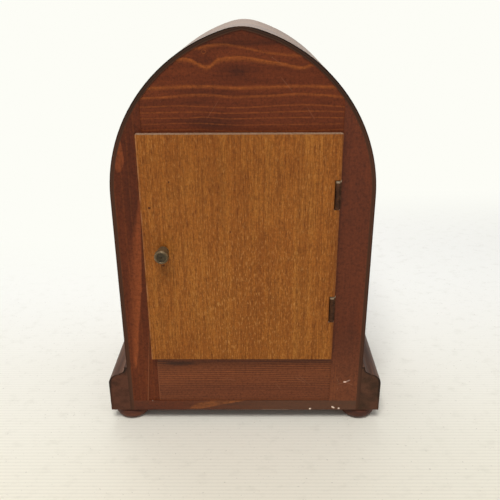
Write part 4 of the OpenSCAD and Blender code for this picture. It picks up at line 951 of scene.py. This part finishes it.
dress(knob_finish(), "door_knob")
dress(turned_finish("bezel_brass", paint(222, 186, 116), paint(202, 162, 96), 0.17, "bezel_seat"),
      "bezel", "bezel_seat")
dress(metal_finish("blued_steel", paint(38, 46, 92), paint(20, 24, 48), 0.2), "minute_hand", "hour_hand")
dress(metal_finish("bright_steel", paint(176, 176, 178), paint(126, 122, 116), 0.28),
      "hammer_arbor", "suspension_spring", "pendulum_rod", "anchor", "time_arbor", "strike_arbor",
      "chime_arbor")
dress(metal_finish("black_iron", paint(46, 46, 48), paint(30, 30, 31), 0.5, (1.2, 1.2, 1.2)), "gong_block")
dress(metal_finish("gong_bronze", paint(178, 136, 84), paint(120, 84, 52), 0.3, (9.0, 0.3, 0.3)), "gong_rods")
dress(turned_finish("bob_brass", paint(214, 174, 96), paint(170, 128, 66), 0.2, "pendulum_bob"),
      "pendulum_bob")
dress(metal_finish("barrel_brass", paint(206, 166, 88), paint(162, 120, 60), 0.26, (0.3, 9.0, 0.3)),
      "time_barrel", "strike_barrel", "chime_barrel")
dress(metal_finish("post_brass", paint(210, 172, 98), paint(158, 118, 62), 0.24),
      "plate_pillars", "mounting_posts", "pendulum_cock", "clicks")
dress(metal_finish("hammer_brass", paint(200, 162, 92), paint(150, 112, 62), 0.3),
      "chime_hammer_1", "chime_hammer_2", "chime_hammer_3", "chime_hammer_4", "strike_hammer")
dress(metal_finish("wheel_brass", paint(208, 168, 92), paint(166, 124, 64), 0.24),
      "cannon_pinion", "minute_wheel", "hour_wheel", "second_wheel", "centre_wheel", "third_wheel",
      "escape_wheel", "strike_pin_wheel", "strike_third_wheel", "strike_fly", "chime_second_wheel",
      "chime_third_wheel", "chime_fly", "chime_drum")

# %% [markdown]
# # The plates of the movement
#
# A plate is rolled brass, brushed up and down. Each arbor turns in a hole with a shallow oil sink round it,
# where the oil has stained the metal in a dark ring. The rings could be modelled, but they have no height
# to speak of, so the finish draws them: it finds the arbors from the boxes of their wheels.

# %% Plates
def plate_finish():
    f = Finish("plate_brass")
    arbors = ["second_wheel", "centre_wheel", "third_wheel", "escape_wheel", "strike_pin_wheel",
              "strike_third_wheel", "strike_fly", "chime_drum", "chime_second_wheel", "chime_third_wheel",
              "chime_fly"]
    stain, sink = 0.0, 0.0
    for name in arbors:
        low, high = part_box(name)
        x, z = (low.x + high.x) / 2 / mm, (low.z + high.z) / 2 / mm
        stain = f.larger(stain, f.spot(x, z, 5.0, 5.5))
        sink = f.larger(sink, f.less(f.spot(x, z, 2.9, 2.9), f.spot(x, z, 1.4, 1.4)))
    cloud = f.fit(f.cloud((26.0,) * 3, 5.0, 0.55, (2.0, 7.0, 1.0)), 0.3, 0.75)
    marks = f.cloud((0.4, 0.4, 14.0), 3.0, 0.6, (5.0, 1.0, 3.0))
    spots = f.fit(f.cloud((1.5,) * 3, 2.0, moved=(3.0, 0.0, 1.0)), 0.72, 0.78, 0.0, 0.5)
    colour = f.mix(cloud, paint(206, 168, 94), paint(168, 128, 68))
    colour = f.mix(f.times(stain, 0.35), colour, paint(126, 92, 50))
    colour = f.mix(f.larger(f.times(sink, 0.8), spots), colour, paint(84, 60, 34))
    spread = f.times_plus(cloud, 0.12, f.fit(marks, 0.2, 0.8, 0.24, 0.36))
    depth = f.less(f.times(marks, 0.15), sink)
    return f.finish(colour, spread, f.bump(depth, 0.12), metal=1.0)


dress(plate_finish(), "front_plate", "back_plate")

# %% [markdown]
# # Dial and glass
#
# The dial is brass under a thin skin of silver, brushed round its centre, so its grain is made like that of
# turned brass. A band near the rim is left whiter for the hours. The glass over it is thin and clear, and
# it hardly bends what is seen through it, so its body has a low index and a clear coat does the mirroring.

# %% Dial and glass
hub_z = (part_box("bezel")[0].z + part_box("bezel")[1].z) / 2 / mm
dial_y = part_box("dial_plate")[0].y / mm
band_in, band_out = 55.6, 74.6


def dial_finish():
    f = Finish("silvered_dial")
    far, place = lathe_place(f, 0.0, hub_z, 3.2, 2.0)
    circles = f.noise(place, 3.0, 0.6)
    cloud = f.fit(f.cloud((22.0,) * 3, 3.0), 0.35, 0.7)
    colour = f.mix(cloud, paint(206, 198, 178), paint(190, 180, 158))
    band = f.times(f.fit(far, band_in - 0.3, band_in), f.fit(far, band_out + 0.3, band_out))
    colour = f.mix(band, colour, f.mix(cloud, paint(226, 222, 212), paint(214, 208, 194)))
    spots = f.fit(f.cloud((1.6, 1.6, 1.6), 2.0, moved=(3.0, 0.0, 1.0)), 0.74, 0.78, 0.0, 0.6)
    colour = f.mix(spots, colour, paint(128, 106, 76))
    colour = f.shade(0.25, colour, circles, [(0.25, 0.75), (0.75, 1.0)])
    return f.finish(colour, f.fit(circles, 0.2, 0.8, 0.34, 0.46), f.bump(circles, 0.01), metal=0.7)


dress(dial_finish(), "dial_plate")


def glass_finish():
    f = Finish("clock_glass")
    return f.finish((1.0, 1.0, 1.0, 1.0), f.fit(f.cloud((40.0,) * 3), 0.3, 0.7, 0.0, 0.02), None,
                    Transmission_Weight=1.0, IOR=1.06, Coat_Weight=1.0, Coat_Roughness=0.01, Coat_IOR=1.5)


dress(glass_finish(), "bezel_glass")

# %% [markdown]
# # The numbers
#
# The hours are plain numbers in black enamel. A number is a text object that is made a mesh, because its
# outline is a drawn curve. It lies a tenth of a millimetre proud of the dial, as enamel does, and its
# points are turned to face the front and moved to their place, so that the object itself stays at the
# origin.

# %% Numbers
enamel_thick = 0.1


def enamel_finish():
    f = Finish("dial_enamel")
    tooth = f.cloud((1.2, 1.2, 1.2), 3.0, 0.6)
    worn = f.fit(f.cloud((4.0, 4.0, 4.0), 3.0, 0.7, (5.0, 2.0, 0.0)), 0.66, 0.8, 0.0, 0.4)
    colour = f.mix(worn, paint(24, 22, 24), paint(92, 86, 78))
    return f.finish(colour, f.fit(tooth, 0.2, 0.8, 0.3, 0.45), f.bump(tooth, 0.02))


enamel = enamel_finish()


def on_dial(piece):
    """A new piece that rides with the case, in black enamel unless it already has a finish."""
    if not piece.data.materials:
        piece.data.materials.append(enamel)
    close_up(piece)
    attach(piece, "case")
    return piece


def hour_number(hour, middle=61.6, letter=14.49):
    """One number, upright, its middle on a circle round the hub. Seen from the front, x runs to the right."""
    text = bpy.data.curves.new(f"hour_number_{hour}", "FONT")
    text.body, text.size, text.extrude, text.resolution_u = str(hour), letter * mm, enamel_thick / 2 * mm, 4
    text.align_x, text.align_y, text.space_character = "CENTER", "CENTER", 0.94
    drawn = bpy.data.objects.new(text.name, text)
    bpy.context.scene.collection.objects.link(drawn)
    mesh = bpy.data.meshes.new_from_object(drawn.evaluated_get(bpy.context.evaluated_depsgraph_get()))
    bpy.data.objects.remove(drawn)
    spots = np.empty(3 * len(mesh.vertices))
    mesh.vertices.foreach_get("co", spots)
    spots = spots.reshape(-1, 3)
    spots[:, :2] -= (spots[:, :2].min(0) + spots[:, :2].max(0)) / 2
    turn = 2 * pi * hour / 12
    place = np.array([middle * np.sin(turn), dial_y - enamel_thick / 2, hub_z + middle * np.cos(turn)]) * mm
    mesh.vertices.foreach_set("co", (np.stack([spots[:, 0], -spots[:, 2], spots[:, 1]], -1) + place).ravel())
    mesh.update()
    made = bpy.data.objects.new(f"hour_number_{hour}", mesh)
    bpy.context.scene.collection.objects.link(made)
    return made


numbers = [on_dial(hour_number(h)) for h in range(1, 13)]
print("numbers:", len(numbers), "the 12 is", [round(d / mm, 1) for d in numbers[-1].dimensions], "mm")

# %% [markdown]
# # The circles and the minutes
#
# Thin circles border the hour band and the minute ring, and sixty short bars mark the minutes, each fifth
# one wider. These are simple enough to be worked out: a circle is a small rectangle carried round the hub,
# and a bar is a flat box turned by its share of a full turn.

# %% Circles and minutes
def lathe_front(name, profile, x, z, steps):
    """A profile of (radius, how far it stands out of the dial) turned round an axis that faces the front: a
    closed profile gives a closed ring."""
    profile = np.array(profile, float)
    turn = np.linspace(0, 2 * pi, steps, endpoint=False)[:, None]
    radius, out = profile[None, :, 0], profile[None, :, 1]
    points = np.stack([x + radius * np.sin(turn), dial_y - out + 0 * turn, z + radius * np.cos(turn)], -1)
    return surface(name, points * mm, loop_u=True, loop_v=True)


def circle_line(name, inner, wide):
    """A thin flat ring: its section is a small rectangle."""
    outer, thick = inner + wide, enamel_thick
    return lathe_front(name, [(inner, 0), (inner, thick), (outer, thick), (outer, 0)], 0.0, hub_z, 180)


minutes_in, minutes_out = 69.5, 72.5
circles = [(band_in, 0.3), (minutes_in - 0.1, 0.3), (minutes_out - 0.1, 0.3), (band_out - 0.2, 0.5)]
for k, (inner, wide) in enumerate(circles):
    ring = on_dial(circle_line(f"dial_circle_{k + 1}", inner, wide))
    ring.data.shade_flat()


def minute_bars(inner, outer):
    """Sixty bars: the corners of bar k are turned by k steps of 6 degrees, and each fifth bar is wider."""
    turn = 2 * pi * np.arange(60) / 60
    half = np.where(np.arange(60) % 5 == 0, 0.75, 0.2)
    across = np.array([-1, 1, 1, -1, -1, 1, 1, -1])
    along = np.array([inner, inner, outer, outer] * 2)
    out = np.array([0.0] * 4 + [enamel_thick] * 4)
    u, v = half[:, None] * across, np.broadcast_to(along, (60, 8))
    s, c = np.sin(turn)[:, None], np.cos(turn)[:, None]
    points = np.stack([v * s + u * c, np.broadcast_to(dial_y - out, (60, 8)), hub_z + v * c - u * s], -1) * mm
    box = np.array([[0, 3, 2, 1], [4, 5, 6, 7], [0, 1, 5, 4], [1, 2, 6, 5], [2, 3, 7, 6], [3, 0, 4, 7]])
    quads = (8 * np.arange(60)[:, None, None] + box).reshape(-1, 4)
    mesh = bpy.data.meshes.new("minute_bars")
    mesh.from_pydata(points.reshape(-1, 3), [], quads)
    made = bpy.data.objects.new("minute_bars", mesh)
    bpy.context.scene.collection.objects.link(made)
    return made


bars = on_dial(minute_bars(minutes_in, minutes_out))
print("minute bars:", len(bars.data.polygons), "faces")

# %% [markdown]
# # Collets of the winding holes
#
# A brass collet lines each winding hole and keeps the key from scratching the silver. It is a turned ring
# with a rounded lip, so its section is carried once round the hole.

# %% Collets
collet_brass = metal_finish("collet_brass", paint(214, 176, 102), paint(176, 134, 74), 0.22, (3.0, 0.3, 3.0))


def collet(name, x, z, hole=4.5, wide=1.7, high=0.9):
    """A half-round lip: the section is half of an ellipse from the hole's edge outwards, and a thin wall goes
    down into the hole."""
    a = np.linspace(pi, 0, 9)
    lip = np.stack([hole - 0.05 + wide / 2 * (1 + np.cos(a)), high * np.sin(a)], -1)
    profile = np.vstack([[[hole - 0.05, -0.95]], lip, [[hole + 0.4, -0.02], [hole + 0.1, -0.95]]])
    made = lathe_front(name, profile, x, z, 48)
    made.data.materials.append(collet_brass)
    return made


winding_holes = {"time_collet": (0.0, -48.0), "strike_collet": (-46.0, -16.0), "chime_collet": (46.0, -16.0)}
collets = [on_dial(collet(name, x, hub_z + z)) for name, (x, z) in winding_holes.items()]
print("collets:", [c.name for c in collets])

# %% [markdown]
# # Screws
#
# Slotted screws hold the hinge leaves, the pendulum's cock and the gong block. A head is small, but its
# slot is what makes it a screw. The circle is cut into chords along the slot, so the slot's two walls fall
# exactly on chords, and cutting with a boolean is not needed. The hinge screws sink into leaves half a
# millimetre thick that almost touch when the door is shut, so their heads are nearly flat, and the finish
# paints their slots as dark lines, a painted shade for the slot's depth, with a shallow bump. A careful
# joiner leaves all slots in line with the hinge's pin, which makes them two straight lines that one sum can
# find.

# %% Screws
door_screw_y, frame_screw_y = 70.3, 66.5


def hinge_screw_finish():
    f = Finish("hinge_screw")
    patch = f.fit(f.cloud((2.0,) * 3, 3.0, 0.6), 0.3, 0.7)
    between = f.size(f.less(f.y, (door_screw_y + frame_screw_y) / 2))
    off = f.size(f.less(between, (door_screw_y - frame_screw_y) / 2))
    # Painted shade: the slot is a dark line, standing in for the shade inside a slot that the flat head does
    # not have.
    slot_painted_shade = f.fit(off, 0.2, 0.26, 1.0, 0.0)
    colour = f.mix(slot_painted_shade, f.mix(patch, paint(140, 114, 76), paint(96, 76, 50)), paint(26, 19, 13))
    return f.finish(colour, f.fit(patch, 0.0, 1.0, 0.34, 0.5), f.bump(slot_painted_shade, -0.3), metal=0.8)


hinge_screw = hinge_screw_finish()
screw_steel = metal_finish("screw_steel", paint(158, 158, 160), paint(104, 100, 96), 0.28, (0.3,) * 3, 4.0)


def screw_head(name, at, facing, side, radius, high, turned=0.0):
    """A low dome over a circle: the height falls with the squared distance from the middle, and drops to a
    third between the slot's walls. The loop over each chord comes back flat underneath. Unturned, the slot
    runs square to the side direction."""
    u = np.array([-1, -0.92, -0.72, -0.45, -0.17, -0.16, 0.16, 0.17, 0.45, 0.72, 0.92, 1.0])[None, :]
    v = np.array([-1, -0.85, -0.45, 0, 0.45, 0.85, 1.0, 1.0, 0, -1.0])[:, None] * np.sqrt(1 - u * u)
    dome = high * np.where(abs(u) < 0.165, 0.35, 1 - 0.35 * (u * u + v * v))
    height = np.where(np.arange(10)[:, None] < 7, dome, 0.0)
    c, s = np.cos(turned), np.sin(turned)
    p, q = radius * (u * c - v * s), radius * (u * s + v * c)
    ways = ((p, side), (q, np.cross(facing, side)), (height, facing))
    points = sum(a[..., None] * np.array(way) for a, way in ways)
    return close_up(surface(name, (points + at) * mm, loop_v=True, smooth=False))


def fasten(made, body, material):
    """Gives a screw its finish and the body that it moves with."""
    made.data.materials.append(material)
    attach(made, body)


left, right, back, up = (-1, 0, 0), (1, 0, 0), (0, 1, 0), (0, 0, 1)
door_leaf_x, frame_leaf_x = -82.8, -83.05
hinge_middles = [end - hinge_long / 2 for end in reversed(pin_ends)]
for k, z in enumerate(z + dz for z in hinge_middles for dz in (-7.5, 7.5)):
    for name, body, x, y, facing in (("door_leaf_screw", "door", door_leaf_x, door_screw_y, left),
                                     ("frame_leaf_screw", "case", frame_leaf_x, frame_screw_y, right)):
        made = screw_head(f"{name}_{k + 1}", (x, y, z), facing, back, radius=1.8, high=0.08)
        fasten(made, body, hinge_screw)
low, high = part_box("gong_block")
ear_x, ear_y, ear_z = 97.0, (low.y + high.y) / 2 / mm, low.z / mm + 6.0
for k, dy in enumerate((-14.0, 14.0)):
    place = (ear_x, ear_y + dy, ear_z)
    made = screw_head(f"gong_screw_{k + 1}", place, up, right, radius=3.4, high=1.7, turned=0.4 + 0.9 * k)
    fasten(made, "case", screw_steel)
foot_y, foot_z = 2.4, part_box("pendulum_cock")[0].z / mm + 8.0
for k, x in enumerate((-13.0, 13.0)):
    place = (x, foot_y, foot_z)
    made = screw_head(f"cock_screw_{k + 1}", place, back, right, radius=2.3, high=1.2, turned=0.5 + k)
    fasten(made, "case", screw_steel)
